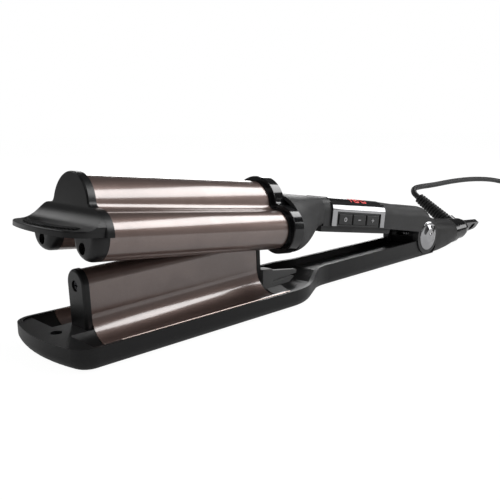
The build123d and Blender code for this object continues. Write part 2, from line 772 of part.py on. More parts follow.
# the hollow that sweeps from the tongue up to the bell plate, within both their outlines
with BuildPart() as tongue_hollow:
    with BuildSketch(beside(upper)):
        with BuildLine():
            Polyline(
                (cap_front, tongue_top + tongue_sweep), (cap_front + cap_root, tongue_top + tongue_sweep),
                (cap_front + cap_root, tongue_top - cap_root), (sweep_front, tongue_top - cap_root),
                (sweep_front, tongue_top),
            )
            ThreePointArc(
                (sweep_front, tongue_top),
                (sweep_front + tongue_sweep * sqrt(0.5), tongue_top + tongue_sweep * (1 - sqrt(0.5))),
                (cap_front, tongue_top + tongue_sweep),
            )
        make_face()
    extrude(amount=cap_half, both=True)
    with BuildSketch(across(upper, cap_front + cap_root)):
        add(bell_outline())
    extrude(amount=-tongue_reach, mode=Mode.INTERSECT)
    with BuildSketch(level(upper, cap_floor)):
        add(tongue_outline())
    extrude(amount=2 * tongue_sweep + tongue_thick, mode=Mode.INTERSECT)

with BuildPart() as front_cap:
    with BuildSketch(across(upper, cap_front)):
        add(bell_outline())
    extrude(amount=cap_wall)
    with BuildSketch(across(upper, cap_front + cap_wall)):
        add(bell_outline())
        add(wave_profile(cap_fit, cap_fit), mode=Mode.SUBTRACT)
    extrude(amount=plate_front + cap_lap - cap_front - cap_wall)
    # inside the groove the cap is open behind its bell plate
    with BuildSketch(across(upper, cap_front + cap_wall)):
        with Locations((0, (cap_floor + groove_top) / 2)):
            Rectangle(2 * (lobe_spread - lobe_radius), groove_top - cap_floor + 2)
    extrude(amount=2 * cap_wall, mode=Mode.SUBTRACT)
    bell_front = front_cap.faces().sort_by(Axis.X)[0]
    fillet(bell_front.edges().filter_by(lambda e: upper.to_local_coords(e.center()).Z > tongue_top + 1), cap_edge)
    add(tongue.part)
    add(tongue_hollow.part)
    with BuildSketch(level(upper, tongue_top - cap_root)) as ribs:
        with Locations((tongue_tip + rib_centre, 0)):
            with PolarLocations(
                rib_centre - tongue_edge - rib_length / 2 - 0.6, rib_count,
                180 - (rib_count - 1) * rib_pitch_angle / 2, (rib_count - 1) * rib_pitch_angle,
            ):
                Rectangle(rib_length, rib_width)
    extrude(amount=rib_height + cap_root)
    with BuildSketch(level(upper, cap_floor)):
        add(tongue_outline())
        with Locations((cap_front + cap_lap, 0)):
            Rectangle(2 * (cap_wall + cap_lap), 4 * cap_half)
    extrude(amount=2 * hump_height, mode=Mode.INTERSECT)
save(front_cap, "front_cap")

# ---- ends of the two lobes, each held by a screw ----------------------------------------------
lobe_plug = lobe_radius - plate_wall - seat_gap

with BuildPart() as lobe_end_caps:
    for side in (-1, 1):
        with BuildSketch(across(upper, lobe_cap_front)):
            with Locations((side * lobe_spread, lobe_height)):
                Circle(lobe_radius)
            with Locations((0, cap_floor - seat_gap + base_width / 2)):
                Rectangle(2 * base_width, base_width, mode=Mode.SUBTRACT)
        end_disc = extrude(amount=plate_front - seat_gap - lobe_cap_front)
        fillet(end_disc.faces().sort_by(Axis.X)[0].edges().filter_by(GeomType.CIRCLE), lobe_cap_round)
        with BuildSketch(across(upper, plate_front - seat_gap)):
            with Locations((side * lobe_spread, lobe_height)):
                Circle(lobe_plug)
        extrude(amount=cap_spigot + seat_gap)
        with BuildSketch(across(upper, lobe_cap_front)):
            with Locations((side * lobe_screw_place[0], lobe_screw_place[1])):
                Circle(screw_head + seat_gap)
        extrude(amount=lobe_screw_sink, mode=Mode.SUBTRACT)
        with BuildSketch(across(upper, lobe_cap_front)):
            with Locations((side * lobe_screw_place[0], lobe_screw_place[1])):
                Circle(screw_shank + pin_fit)
        extrude(amount=3 * cap_spigot, mode=Mode.SUBTRACT)
save(lobe_end_caps, "lobe_end_caps")

with BuildPart() as lobe_cap_screws:
    for side in (-1, 1):
        seat = Plane(
            origin=upper.from_local_coords(
                (lobe_cap_front + lobe_screw_sink, side * lobe_screw_place[0], lobe_screw_place[1])
            ),
            x_dir=(0, 1, 0), z_dir=-upper.x_dir,
        )
        add(screw(seat, plate_front + cap_spigot - lobe_cap_front - lobe_screw_sink))
save(lobe_cap_screws, "lobe_cap_screws")

# ---- heat break ring and glossy collar behind the plate --------------------------------------
ring_rear = neck_start - collar_length

with BuildPart() as heat_break_ring:
    with BuildSketch(across(upper, ring_rear)):
        add(wave_profile(ring_grow, seat_gap + 0.3))
        add(wave_profile(seat_gap, seat_gap), mode=Mode.SUBTRACT)
    extrude(amount=-ring_length)
save(heat_break_ring, "heat_break_ring")

with BuildPart() as rear_collar:
    with BuildSketch(across(upper, ring_rear)):
        add(wave_profile(collar_grow, collar_lip))
    extrude(amount=collar_length)
    collar_front = rear_collar.faces().sort_by(Axis.X)[0]
    fillet(collar_front.outer_wire().edges(), 0.5)
    with BuildSketch(across(upper, ring_rear - 1)):
        add(wave_profile(seat_gap, seat_gap))
    extrude(amount=collar_length - collar_floor + 1, mode=Mode.SUBTRACT)
    with BuildSketch(across(upper, ring_rear)):
        add(wave_profile(-plate_wall, -plate_wall))
    extrude(amount=collar_length + 1, mode=Mode.SUBTRACT)
save(rear_collar, "rear_collar")

# ---- grip shell: flared neck, slender grip and two hinge cheeks in one moulding ----------------
grip_half = handle_width / 2
collar_half = lobe_spread + lobe_radius + collar_grow
collar_low = lobe_height - lobe_radius - collar_grow
neck_low = grip_floor + grip_rise

# the panel's frame: X along the straight top of the grip, which the neck also joins square to
panel_slope = atan2(grip_top_front - grip_top_mid, grip_break - neck_end)
panel_angle = radians(open_angle) + panel_slope
panel_middle = (panel_start + panel_end) / 2
panel_top = grip_top_front - (panel_middle - neck_end) * tan(panel_slope)
panel = Plane(
    origin=upper.from_local_coords((panel_middle, 0, panel_top)),
    x_dir=(cos(panel_angle), 0, -sin(panel_angle)), z_dir=(sin(panel_angle), 0, cos(panel_angle)),
)
neck_join = (neck_end - panel_middle) / cos(panel_slope)
grip_deep = (grip_top_front - neck_low) / cos(panel_slope)


def under_top(x, top, depth):
    """A point square below the sloping top of the grip, in the side view."""
    return (x - depth * sin(panel_slope), top - depth * cos(panel_slope))


def neck_section(half, low, high, low_round, high_round):
    """Section of the neck: flat below and on top, with a small and a large corner radius."""
    mid = 1 - sqrt(0.5)
    with BuildSketch() as section:
        with BuildLine() as line:
            Line((0, low), (half - low_round, low))
            ThreePointArc(
                (half - low_round, low), (half - low_round * mid, low + low_round * mid), (half, low + low_round)
            )
            Line((half, low + low_round), (half, high - high_round))
            ThreePointArc(
                (half, high - high_round), (half - high_round * mid, high - high_round * mid),
                (half - high_round, high),
            )
            Line((half - high_round, high), (0, high))
            mirror(line.edges(), about=Plane.YZ)
        make_face()
    return section.sketch


def neck(inset):
    """The flared body from the collar to the grip, inset from its outer surface."""
    stations = (
        (0.0, collar_half - 1.2, collar_low + 1.0, grip_top_front + 1.2, 8.0, 19.0),
        (0.28, collar_half - 3.6, collar_low + 3.0, grip_top_front + 1.0, 8.0, 17.0),
        (0.62, 0.45 * collar_half + 0.48 * grip_half, collar_low + 9.2, grip_top_front + 0.6, 5.0, 11.5),
    )
    with BuildPart() as body:
        for share, half, low, high, low_round, high_round in stations:
            with BuildSketch(across(upper, neck_start + share * neck_length)):
                rounds = (low_round - inset / 2, high_round - inset)
                add(neck_section(half - inset, low + inset, high - inset, *rounds))
        with BuildSketch(across(panel, neck_join)):
            add(neck_section(grip_half - inset, inset - grip_deep, -inset, 2.4 - inset / 2, grip_round - inset))
        loft()
    return body.part


def grip_core(inset, rear):
    """The grip between the neck and a vertical rear face, inset from its outer surface, open below."""
    with BuildPart() as core:
        with BuildSketch(beside(upper)):
            with BuildLine():
                Polyline(
                    under_top(neck_end, grip_top_front, inset), under_top(grip_break, grip_top_mid, inset),
                    (rear, grip_top_rear - inset), (rear, -inset), under_top(neck_end, grip_top_front, 2 * grip_deep),
                    under_top(neck_end, grip_top_front, inset),
                )
            make_face()
        extrude(amount=grip_half - inset, both=True)
        top_edges = core.edges().filter_by(
            lambda e: abs(abs(e.center().Y) - grip_half + inset) < 0.01
            and upper.to_local_coords(e.center()).Z > grip_top_rear - inset
            and upper.to_local_coords(e.center()).X < rear - 1
        )
        fillet(top_edges, grip_round - inset)
    return core.part


with BuildPart() as grip_body:
    with BuildSketch(beside(upper)):
        with BuildLine():
            Line((neck_end, grip_top_front), (grip_break, grip_top_mid))
            Spline(
                (grip_break, grip_top_mid), (-18, grip_top_rear), (2, grip_top_rear - 3.2), grip_heel,
                tangents=((1, -0.045), (0.35, -1)),
            )
            Polyline(
                grip_heel, (0, 0), grip_toe, (grip_break, grip_floor),
                under_top(neck_end, grip_top_front, grip_deep), (neck_end, grip_top_front),
            )
        make_face()
    extrude(amount=grip_half, both=True)
    crown_edges = grip_body.edges().filter_by(
        lambda e: abs(abs(e.center().Y) - grip_half) < 0.01
        and upper.to_local_coords(e @ 0.5).Z > grip_top_front - 8
        and abs(upper.to_local_coords(e @ 0.5).X - neck_end) > 1
    )
    fillet(crown_edges, grip_round)

with BuildPart() as slot_wall:
    with BuildSketch(beside(upper)):
        with Locations((neck_start + (slot_length + handle_wall) / 2, 0)):
            Rectangle(slot_length + handle_wall, 2 * (slot_height + handle_wall))
    extrude(amount=slot_half + handle_wall, both=True)
    add(neck(0), mode=Mode.INTERSECT)

with BuildPart() as housing_shell:
    add(neck(0))
    add(grip_body.part)
    with BuildSketch(beside(upper)):
        Circle(boss_radius)
    extrude(amount=grip_half, both=True)
    add(neck(handle_wall), mode=Mode.SUBTRACT)
    add(grip_core(handle_wall, core_rear), mode=Mode.SUBTRACT)
    add(slot_wall.part)
    with BuildSketch(beside(upper)):
        with Locations((neck_start + slot_length / 2 - 1, 0)):
            Rectangle(slot_length + 2, 2 * slot_height)
    extrude(amount=slot_half, both=True, mode=Mode.SUBTRACT)
    # fork for the knuckle
    with BuildSketch(beside(upper)):
        with Locations((fork_front + 2 * boss_radius, fork_top - 2 * boss_radius)):
            Rectangle(4 * boss_radius, 4 * boss_radius)
    extrude(amount=knuckle_half + running_gap, both=True, mode=Mode.SUBTRACT)
    with BuildSketch(beside(upper)):
        Circle(pin_radius + pin_fit)
    extrude(amount=grip_half, both=True, mode=Mode.SUBTRACT)
    # bosses for the screws of the lower cover
    with BuildSketch(level(upper, grip_floor + grip_rise + cover_plate)):
        with Locations(*[(x, 0) for x in cover_screw_places]):
            Circle(screw_boss)
    extrude(until=Until.NEXT)
    with BuildSketch(level(upper, grip_floor)):
        with Locations(*[(x, 0) for x in cover_screw_places]):
            Circle(screw_shank)
    extrude(amount=cover_screw_length + grip_rise, mode=Mode.SUBTRACT)

# ---- control panel: bright frame over the shoulder, black panel, three buttons, window ---------
panel_length = panel_end - panel_start
corner = grip_half - grip_round      # the grip's top corner starts here


def wrap(inner, outer, low, top_edge):
    """Band along the grip's flank and round its top corner, between two offsets of its surface."""
    mid = sqrt(0.5)
    bend_in = grip_round + inner
    bend_out = grip_round + outer
    with BuildSketch() as band:
        with BuildLine():
            Polyline((-corner - bend_in, low), (-corner - bend_out, low), (-corner - bend_out, -grip_round))
            ThreePointArc(
                (-corner - bend_out, -grip_round), (-corner - bend_out * mid, -grip_round + bend_out * mid),
                (-corner, -grip_round + bend_out),
            )
            Polyline((-corner, outer), (top_edge, outer), (top_edge, inner), (-corner, inner))
            ThreePointArc(
                (-corner, -grip_round + bend_in), (-corner - bend_in * mid, -grip_round + bend_in * mid),
                (-corner - bend_in, -grip_round),
            )
            Line((-corner - bend_in, -grip_round), (-corner - bend_in, low))
        make_face()
    return band.sketch


def above_frame(shift=0.0):
    """Half plane of a cross section on the far side of the frame's edge on the corner, moved by shift."""
    lean = radians(frame_lean)
    ray = Vector(-cos(lean), sin(lean)) * handle_width
    out = Vector(sin(lean), cos(lean))
    start = Vector(-corner, -grip_round) + out * shift
    with BuildSketch() as half:
        with BuildLine():
            Polyline(start + ray, start - ray, start - ray + out * handle_width, start + ray + out * handle_width, close=True)
        make_face()
    return half.sketch


def flank(y, depth, length, low, high, centre=0.0, mode=Mode.ADD):
    """A block on the grip's flank from y inwards, between two heights under the grip's top."""
    with BuildSketch(beside(panel, y)) as block:
        with Locations((centre, (low + high) / 2)):
            Rectangle(length, high - low)
    extrude(block.sketch, amount=-depth, mode=mode)


window_length = panel_length - 2 * bezel_end
slot_low = button_level - button_height / 2 - 0.3
slot_high = button_level + button_height / 2 + 0.3
key_places = [(i - 1) * (button_width + button_gap) for i in range(3)]
key_span = 3 * button_width + 2 * button_gap + 2 * key_flange + 0.5

with BuildPart() as control_bezel:
    with BuildSketch(across(panel, -panel_length / 2)):
        add(wrap(-bezel_sink, panel_rise, bezel_low, 0))
        add(above_frame(), mode=Mode.SUBTRACT)
    extrude(amount=panel_length)
    flank(-handle_width, handle_width - corner, window_length, 2 * bezel_low, window_high, mode=Mode.SUBTRACT)
save(control_bezel, "control_bezel")

with BuildPart() as control_panel:
    flank(
        -grip_half - panel_proud, bezel_sink + panel_proud, window_length - 2 * seat_gap,
        bezel_low, window_high - seat_gap,
    )
    for place in key_places:
        flank(
            -grip_half - 1, bezel_sink + 2, button_width + 2 * seat_gap, button_level - button_height / 2 - seat_gap,
            button_level + button_height / 2 + seat_gap, centre=place, mode=Mode.SUBTRACT,
        )
save(control_panel, "control_panel")

# the shell takes a shallow pocket for the frame, a slot for the keys and a pocket for the window
with BuildPart() as panel_cuts:
    with BuildSketch(across(panel, -panel_length / 2 - seat_gap)):
        add(wrap(-bezel_sink - 0.1, grip_round / 2, bezel_low - 0.1, 0))
        add(above_frame(seat_gap), mode=Mode.SUBTRACT)
    extrude(amount=panel_length + 2 * seat_gap)
    flank(-grip_half, 2 * handle_wall, key_span, slot_low, slot_high)
    with BuildSketch(across(panel, -glass_length / 2 - seat_gap)):
        add(wrap(-glass_thick - 0.1, grip_round / 2, bezel_low, glass_far + seat_gap))
        add(above_frame(), mode=Mode.INTERSECT)
    extrude(amount=glass_length + 2 * seat_gap)
    with BuildSketch(level(panel, -2 * handle_wall)):
        with Locations((0, (view_near + view_far) / 2)):
            Rectangle(view_length, view_far - view_near)
    extrude(amount=2 * handle_wall)
with BuildPart() as upper_housing:
    add(housing_shell.part)
    add(panel_cuts.part, mode=Mode.SUBTRACT)
save(upper_housing, "upper_housing")

for place, name in zip(key_places, ("button_power", "button_minus", "button_plus")):
    with BuildPart() as key:
        flank(
            -grip_half - button_proud, button_proud + handle_wall, button_width,
            button_level - button_height / 2, button_level + button_height / 2, centre=place,
        )
        outer_face = key.faces().sort_by(Axis.Y)[0]
        fillet(outer_face.edges(), key_round)
        flank(
            -grip_half + bezel_sink + 0.2, handle_wall - bezel_sink - 0.2, button_width + 2 * key_flange,
            button_level - button_height / 2, button_level + button_height / 2, centre=place,
        )
        flank(
            -grip_half + handle_wall, stem_length, stem_width, button_level - stem_width / 2,
            button_level + stem_width / 2, centre=place,
        )
    save(key, name)

plunger_tip = -grip_half + handle_wall + stem_length + button_travel + 0.2
switch_face = plunger_tip + plunger_length
board_face = switch_face + switch_thick
with BuildPart() as tact_switches:
    for place in key_places:
        flank(
            switch_face, switch_thick, switch_width, button_level - switch_width / 2,
            button_level + switch_width / 2, centre=place,
        )
        with BuildSketch(beside(panel, plunger_tip)):
            with Locations((place, button_level)):
                Circle(0.9)
        extrude(amount=-plunger_length)
save(tact_switches, "tact_switches")

with BuildPart() as main_pcb:
    flank(board_face, board_thick, board_length, board_low, board_high)
save(main_pcb, "main_pcb")

with BuildPart() as display_window:
    with BuildSketch(across(panel, -glass_length / 2)):
        add(wrap(-glass_thick, glass_proud, bezel_low, glass_far))
        add(above_frame(seat_gap), mode=Mode.INTERSECT)
    extrude(amount=glass_length)
save(display_window, "display_window")

with BuildPart() as display_module:
    with BuildSketch(level(panel, -handle_wall - 0.05)):
        with Locations((0, (view_near + view_far) / 2)):
            Rectangle(module_length, view_far - view_near + 2.8)
    extrude(amount=-module_thick)
save(display_module, "display_module")

# ---- cover under the grip and its screws ----------------------------------------------------
def grip_edge(x):
    """Height of the grip's lower edge at x, along the upper arm."""
    return grip_floor + grip_rise * (x - grip_break) / (neck_end - grip_break)


cover_half = grip_half - handle_wall - seat_gap
cover_front = neck_end + seat_gap
toe_slope = (grip_toe[1] - grip_floor) / (grip_toe[0] - grip_break)
cover_rear_edge = grip_floor + toe_slope * (cover_rear - grip_break)

with BuildPart() as handle_lower_cover:
    with BuildSketch(beside(upper)):
        with BuildLine():
            Polyline(
                (cover_front, grip_edge(cover_front) - cover_drop), (step_rear, grip_edge(step_rear) - cover_drop),
                (step_rear + cover_drop / 2, grip_edge(step_rear)), (cover_rear, cover_rear_edge),
                (cover_rear, cover_rear_edge + cover_plate), (grip_break, grip_floor + cover_plate),
                (cover_front, grip_edge(cover_front) + cover_plate),
                (cover_front, grip_edge(cover_front) - cover_drop),
            )
        make_face()
    extrude(amount=cover_half, both=True)
    step_sides = handle_lower_cover.faces().sort_by(Axis.Z)[0].edges().filter_by(
        lambda e: abs(e.center().Y) > cover_half - 0.1
    )
    fillet(step_sides, cover_round)
    # room for the keys' inner ends over their travel
    flank(
        -grip_half, grip_half - cover_half + button_travel + running_gap, key_span,
        slot_low - seat_gap, slot_high, mode=Mode.SUBTRACT,
    )
    for x in cover_screw_places:
        with BuildSketch(level(upper, grip_edge(x) - cover_drop - 1)):
            with Locations((x, 0)):
                Circle(screw_head + seat_gap)
        extrude(amount=screw_sink + 1, mode=Mode.SUBTRACT)
        with BuildSketch(level(upper, grip_edge(x) - cover_drop)):
            with Locations((x, 0)):
                Circle(screw_shank + pin_fit)
        extrude(amount=2 * cover_drop + cover_plate, mode=Mode.SUBTRACT)
save(handle_lower_cover, "handle_lower_cover")

with BuildPart() as cover_screws:
    for x in cover_screw_places:
        seat = Plane(
            origin=upper.from_local_coords((x, 0, grip_edge(x) - cover_drop + screw_sink)),
            x_dir=upper.x_dir, z_dir=-upper.z_dir,
        )
        add(screw(seat, cover_screw_length))
save(cover_screws, "cover_screws")

# ---- tail: gloss ring, swivel with its hanging loop and strain relief --------------------------
tail_line = Plane(origin=(hinge_x, 0, tail_axis), x_dir=(0, 1, 0), z_dir=(1, 0, 0))


def turned(points):
    """A piece of revolution about the tail's axis, from points of distance along and radius."""
    with BuildPart() as piece:
        with BuildSketch(Plane(origin=(hinge_x, 0, tail_axis), x_dir=(1, 0, 0), z_dir=(0, -1, 0))):
            with BuildLine():
                Polyline(*points, points[0])
            make_face()
        revolve(axis=Axis((hinge_x, 0, tail_axis), (1, 0, 0)))
    return piece.part


flange_end = tail_end + flange_length
with BuildPart() as tail_ring:
    add(turned((
        (tail_end, swivel_radius + 0.1), (tail_end, tail_radius), (tail_ring_end - 0.8, tail_radius - 0.2),
        (tail_ring_end, tail_radius - 1.0), (tail_ring_end, swivel_neck + 0.1),
        (flange_end + 0.1, swivel_neck + 0.1), (flange_end + 0.1, swivel_radius + 0.1),
    )))
save(tail_ring, "tail_ring")

boot_dir = Vector(0, cos(radians(boot_lift)), sin(radians(boot_lift)))
boot_centre = Vector(hinge_x + boot_x, 0, tail_axis)
boot_tip = boot_centre + boot_dir * (boot_root + boot_length)


def on_boot(distance):
    """A plane square to the strain relief's axis, at a distance from the tail's axis."""
    return Plane(origin=boot_centre + boot_dir * distance, x_dir=(1, 0, 0), z_dir=boot_dir)


socket_end = boot_root + boot_seat
with BuildPart() as swivel_body:
    add(turned((
        (tail_end + 0.3, bore_radius), (tail_end + 0.3, swivel_radius), (flange_end, swivel_radius),
        (flange_end, swivel_neck), (tail_ring_end + 0.3, swivel_neck), (tail_ring_end + 0.3, swivel_radius - 0.6),
        (tail_ring_end + 1.3, swivel_radius), (boot_x + 3, swivel_radius), (swivel_end - 1.5, swivel_radius - 1.2),
        (swivel_end, swivel_radius - 3), (swivel_end, loop_stem + pin_fit),
        (swivel_end - loop_root, loop_stem + pin_fit), (swivel_end - loop_root, bore_radius),
    )))
    with BuildSketch(on_boot(2)):
        Circle(boot_base_radius + 0.9)
    extrude(amount=socket_end - 2 - seat_gap)
    with BuildSketch(on_boot(boot_root - seat_gap)):
        Circle(boot_plug + pin_fit)
    extrude(amount=boot_seat + 1, mode=Mode.SUBTRACT)
save(swivel_body, "swivel_body")

rib_pitch = (boot_length - boot_seat - boot_lip) / boot_ribs
with BuildPart() as strain_relief:
    with BuildSketch(on_boot(boot_root)):
        Circle(boot_plug)
    extrude(amount=boot_seat)
    with BuildSketch(on_boot(socket_end)):
        Circle(boot_base_radius)
    with BuildSketch(on_boot(boot_root + boot_length)):
        Circle(boot_tip_radius)
    loft()
    for i in range(boot_ribs):
        with BuildSketch(on_boot(socket_end + (i + 0.55) * rib_pitch)):
            Circle(2 * boot_base_radius)
            Circle(boot_core - i * boot_core_taper, mode=Mode.SUBTRACT)
            Rectangle(4 * boot_base_radius, boot_band, rotation=90 * (i % 2), mode=Mode.SUBTRACT)
        extrude(amount=rib_slot, mode=Mode.SUBTRACT)
save(strain_relief, "strain_relief")

loop_plane = Plane(
    origin=(hinge_x, 0, tail_axis), x_dir=(1, 0, 0), z_dir=boot_dir,
)
with BuildPart() as hanging_loop:
    with BuildSketch(loop_plane):
        with BuildLine():
            Polyline(
                (swivel_end, -loop_base / 2), (swivel_end, loop_base / 2), (tail_reach, loop_tip / 2),
                (tail_reach, -loop_tip / 2), (swivel_end, -loop_base / 2),
            )
        make_face()
    extrude(amount=loop_thick / 2, both=True)
    tip_corners = hanging_loop.edges().filter_by(lambda e: abs(e.length - loop_thick) < 0.01).group_by(Axis.X)[-1]
    fillet(tip_corners, loop_tip / 2.2)
    with BuildSketch(loop_plane):
        with Locations((tail_reach - loop_hole_inset, 0)):
            Circle(loop_hole)
    extrude(amount=loop_thick, both=True, mode=Mode.SUBTRACT)
    with BuildSketch(tail_line.offset(swivel_end - loop_root + 0.1)):
        Circle(loop_stem)
    extrude(amount=loop_root)
save(hanging_loop, "hanging_loop")

# ---- cord: route from the strain relief, flat coil, and the run to the plug ---------------------
def route(points):
    """Points given from the hinge axis and the table, in the part's frame."""
    return [Vector(hinge_x + x, y, z) for x, y, z in points]


def tube(points, name):
    """A round cord along straight runs joined by tangent arcs, as large as the runs allow."""
    radii = []
    for a, b, c in zip(points, points[1:], points[2:]):
        turn = (b - a).get_angle(c - b)
        radii.append(0.45 * min((b - a).length, (c - b).length) / tan(radians(turn) / 2))
    with BuildPart() as body:
        with BuildLine() as path:
            FilletPolyline(*points, radius=radii)
        with BuildSketch(Plane(origin=points[0], z_dir=points[1] - points[0])):
            Circle(cord_diameter / 2)
        sweep(path=path.wire())
    section = pi * cord_diameter**2 / 4
    length = path.wire().length
    print(name, "radii", [round(r, 1) for r in radii])
    print(name, "length", round(length, 1), "volume / (section x length)", body.part.volume / section / length)
    save(body, name)
    return length


boot_exit = boot_tip - Vector(hinge_x, 0, 0)
bend_step = 6.0                     # three even turns of 30 degrees out of the strain relief
first = boot_exit + boot_dir * bend_step
second = first + (boot_dir * cos(radians(30)) + Vector(1, 0, 0) * sin(radians(30))) * bend_step
third = second + (boot_dir * cos(radians(60)) + Vector(1, 0, 0) * sin(radians(60))) * bend_step
cord_route = route([
    (boot_exit.X, boot_exit.Y, boot_exit.Z), (first.X, first.Y, first.Z), (second.X, second.Y, second.Z),
    (third.X, third.Y, third.Z), (86.0, 45.0, 38.6), (108.0, 43.8, 38.7), (143.0, 44.2, 39.7),
    (185.0, 44.0, 38.9), (232.0, 43.0, 34.5), (262.0, 27.0, 24.0), (269.0, -3.0, 12.5),
    (256.0, -31.0, 4.6), (232.0, -49.0, 2.6), (204.0, -51.4, 2.5),
])
coil_length = cord_length - tube(cord_route, "cord")

end_route = route([
    (188.0, -51.6, 2.6), (176.0, -53.2, 3.2), (162.0, -52.6, plug_height), (149.0, -52.6, plug_height),
])
coil_length -= tube(end_route, "cord_end")
print("coil turns", coil_length / (2 * pi * coil_radius))

coil_centre = Plane(origin=(hinge_x + coil_x, coil_y, 0.1))
with BuildPart() as cord_coil:
    with BuildSketch(coil_centre):
        Circle(coil_radius + coil_band / 2)
        Circle(coil_radius - coil_band / 2, mode=Mode.SUBTRACT)
    extrude(amount=coil_height)
    fillet(cord_coil.edges().filter_by(GeomType.CIRCLE), cord_diameter / 2 - 0.1)
save(cord_coil, "cord_coil")

# ---- two-pin plug lying flat -------------------------------------------------------------------
plug_face = end_route[-1].X - plug_neck - plug_length
plug_front = Plane(origin=(plug_face, end_route[-1].Y, plug_height), x_dir=(0, 1, 0), z_dir=(1, 0, 0))
with BuildPart() as plug:
    with BuildSketch(plug_front):
        RectangleRounded(plug_width, 2 * plug_height - 0.2, plug_height - 0.2)
    with BuildSketch(plug_front.offset(0.45 * plug_length)):
        RectangleRounded(plug_width - 2, 2 * plug_height - 0.2, plug_height - 0.2)
    with BuildSketch(plug_front.offset(plug_length)):
        RectangleRounded(0.5 * plug_width, 2 * plug_height - 2.4, plug_height - 1.4)
    loft()
    with BuildSketch(plug_front.offset(plug_length)):
        Circle(cord_diameter / 2 + 1.4)
    with BuildSketch(plug_front.offset(plug_length + plug_neck)):
        Circle(cord_diameter / 2 + 0.6)
    loft()
    with BuildSketch(plug_front):
        with GridLocations(pin_pitch, 1, 2, 1):
            Circle(pin_shank / 2 + pin_fit)
    extrude(amount=plug_pin_root, mode=Mode.SUBTRACT)
save(plug, "plug")

with BuildPart() as plug_pins:
    with BuildSketch(plug_front.offset(plug_pin_root)):
        with GridLocations(pin_pitch, 1, 2, 1):
            Circle(pin_shank / 2)
    extrude(amount=-plug_pin_root - pin_shoulder)
    with BuildSketch(plug_front.offset(-pin_shoulder)):
        with GridLocations(pin_pitch, 1, 2, 1):
            Circle(plug_pin / 2)
    extrude(amount=pin_shoulder - plug_pin_length)
    pin_tips = plug_pins.edges().filter_by(GeomType.CIRCLE).group_by(Axis.X)[0]
    fillet(pin_tips, plug_pin / 2 - 0.3)
save(plug_pins, "plug_pins")
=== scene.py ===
"""Hair waver: finishes, cord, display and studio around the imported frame.

Lengths are in metres, and the angles that a class keeps are in degrees, unless a docstring says
otherwise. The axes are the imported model's: +Z up, nose towards -X, keys facing -Y.
"""

import json
import logging
import math
from collections.abc import Callable
from dataclasses import dataclass, field
from enum import Enum
from functools import wraps

import bpy
import numpy as np
from mathutils import Matrix, Vector

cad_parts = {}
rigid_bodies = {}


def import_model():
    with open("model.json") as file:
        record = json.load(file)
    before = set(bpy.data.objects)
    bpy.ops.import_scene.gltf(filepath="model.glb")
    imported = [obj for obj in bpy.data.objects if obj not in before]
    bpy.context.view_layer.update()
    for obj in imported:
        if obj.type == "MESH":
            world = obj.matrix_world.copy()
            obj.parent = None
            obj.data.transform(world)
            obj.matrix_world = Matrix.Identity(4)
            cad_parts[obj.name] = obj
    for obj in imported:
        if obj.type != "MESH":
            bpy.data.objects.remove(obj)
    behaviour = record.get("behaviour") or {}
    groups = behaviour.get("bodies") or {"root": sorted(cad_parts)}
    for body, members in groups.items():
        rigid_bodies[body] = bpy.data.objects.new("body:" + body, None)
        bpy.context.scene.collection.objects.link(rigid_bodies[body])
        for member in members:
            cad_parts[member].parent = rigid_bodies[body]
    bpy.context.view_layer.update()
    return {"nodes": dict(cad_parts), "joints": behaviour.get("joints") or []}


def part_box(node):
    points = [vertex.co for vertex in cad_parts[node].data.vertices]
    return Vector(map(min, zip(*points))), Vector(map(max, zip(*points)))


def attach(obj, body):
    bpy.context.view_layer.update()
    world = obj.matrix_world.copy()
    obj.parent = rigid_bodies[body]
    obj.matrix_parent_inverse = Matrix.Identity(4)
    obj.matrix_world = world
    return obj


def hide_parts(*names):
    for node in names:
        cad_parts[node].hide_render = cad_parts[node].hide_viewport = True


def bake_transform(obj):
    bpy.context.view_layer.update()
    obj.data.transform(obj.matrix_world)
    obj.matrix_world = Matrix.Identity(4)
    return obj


LOG = logging.getLogger("hair_waver")
MM = 0.001
SHARP = math.radians(38.0)
PANEL_SLOPE = math.radians(8.31)

Colour = tuple[float, float, float]
Point = tuple[float, float, float]
Pair = tuple[float, float]
WHITE: Colour = (1.0, 1.0, 1.0)
BLACK: Colour = (0.0, 0.0, 0.0)


# ---------------------------------------------------------------------------------------------
# Shader graphs
# ---------------------------------------------------------------------------------------------


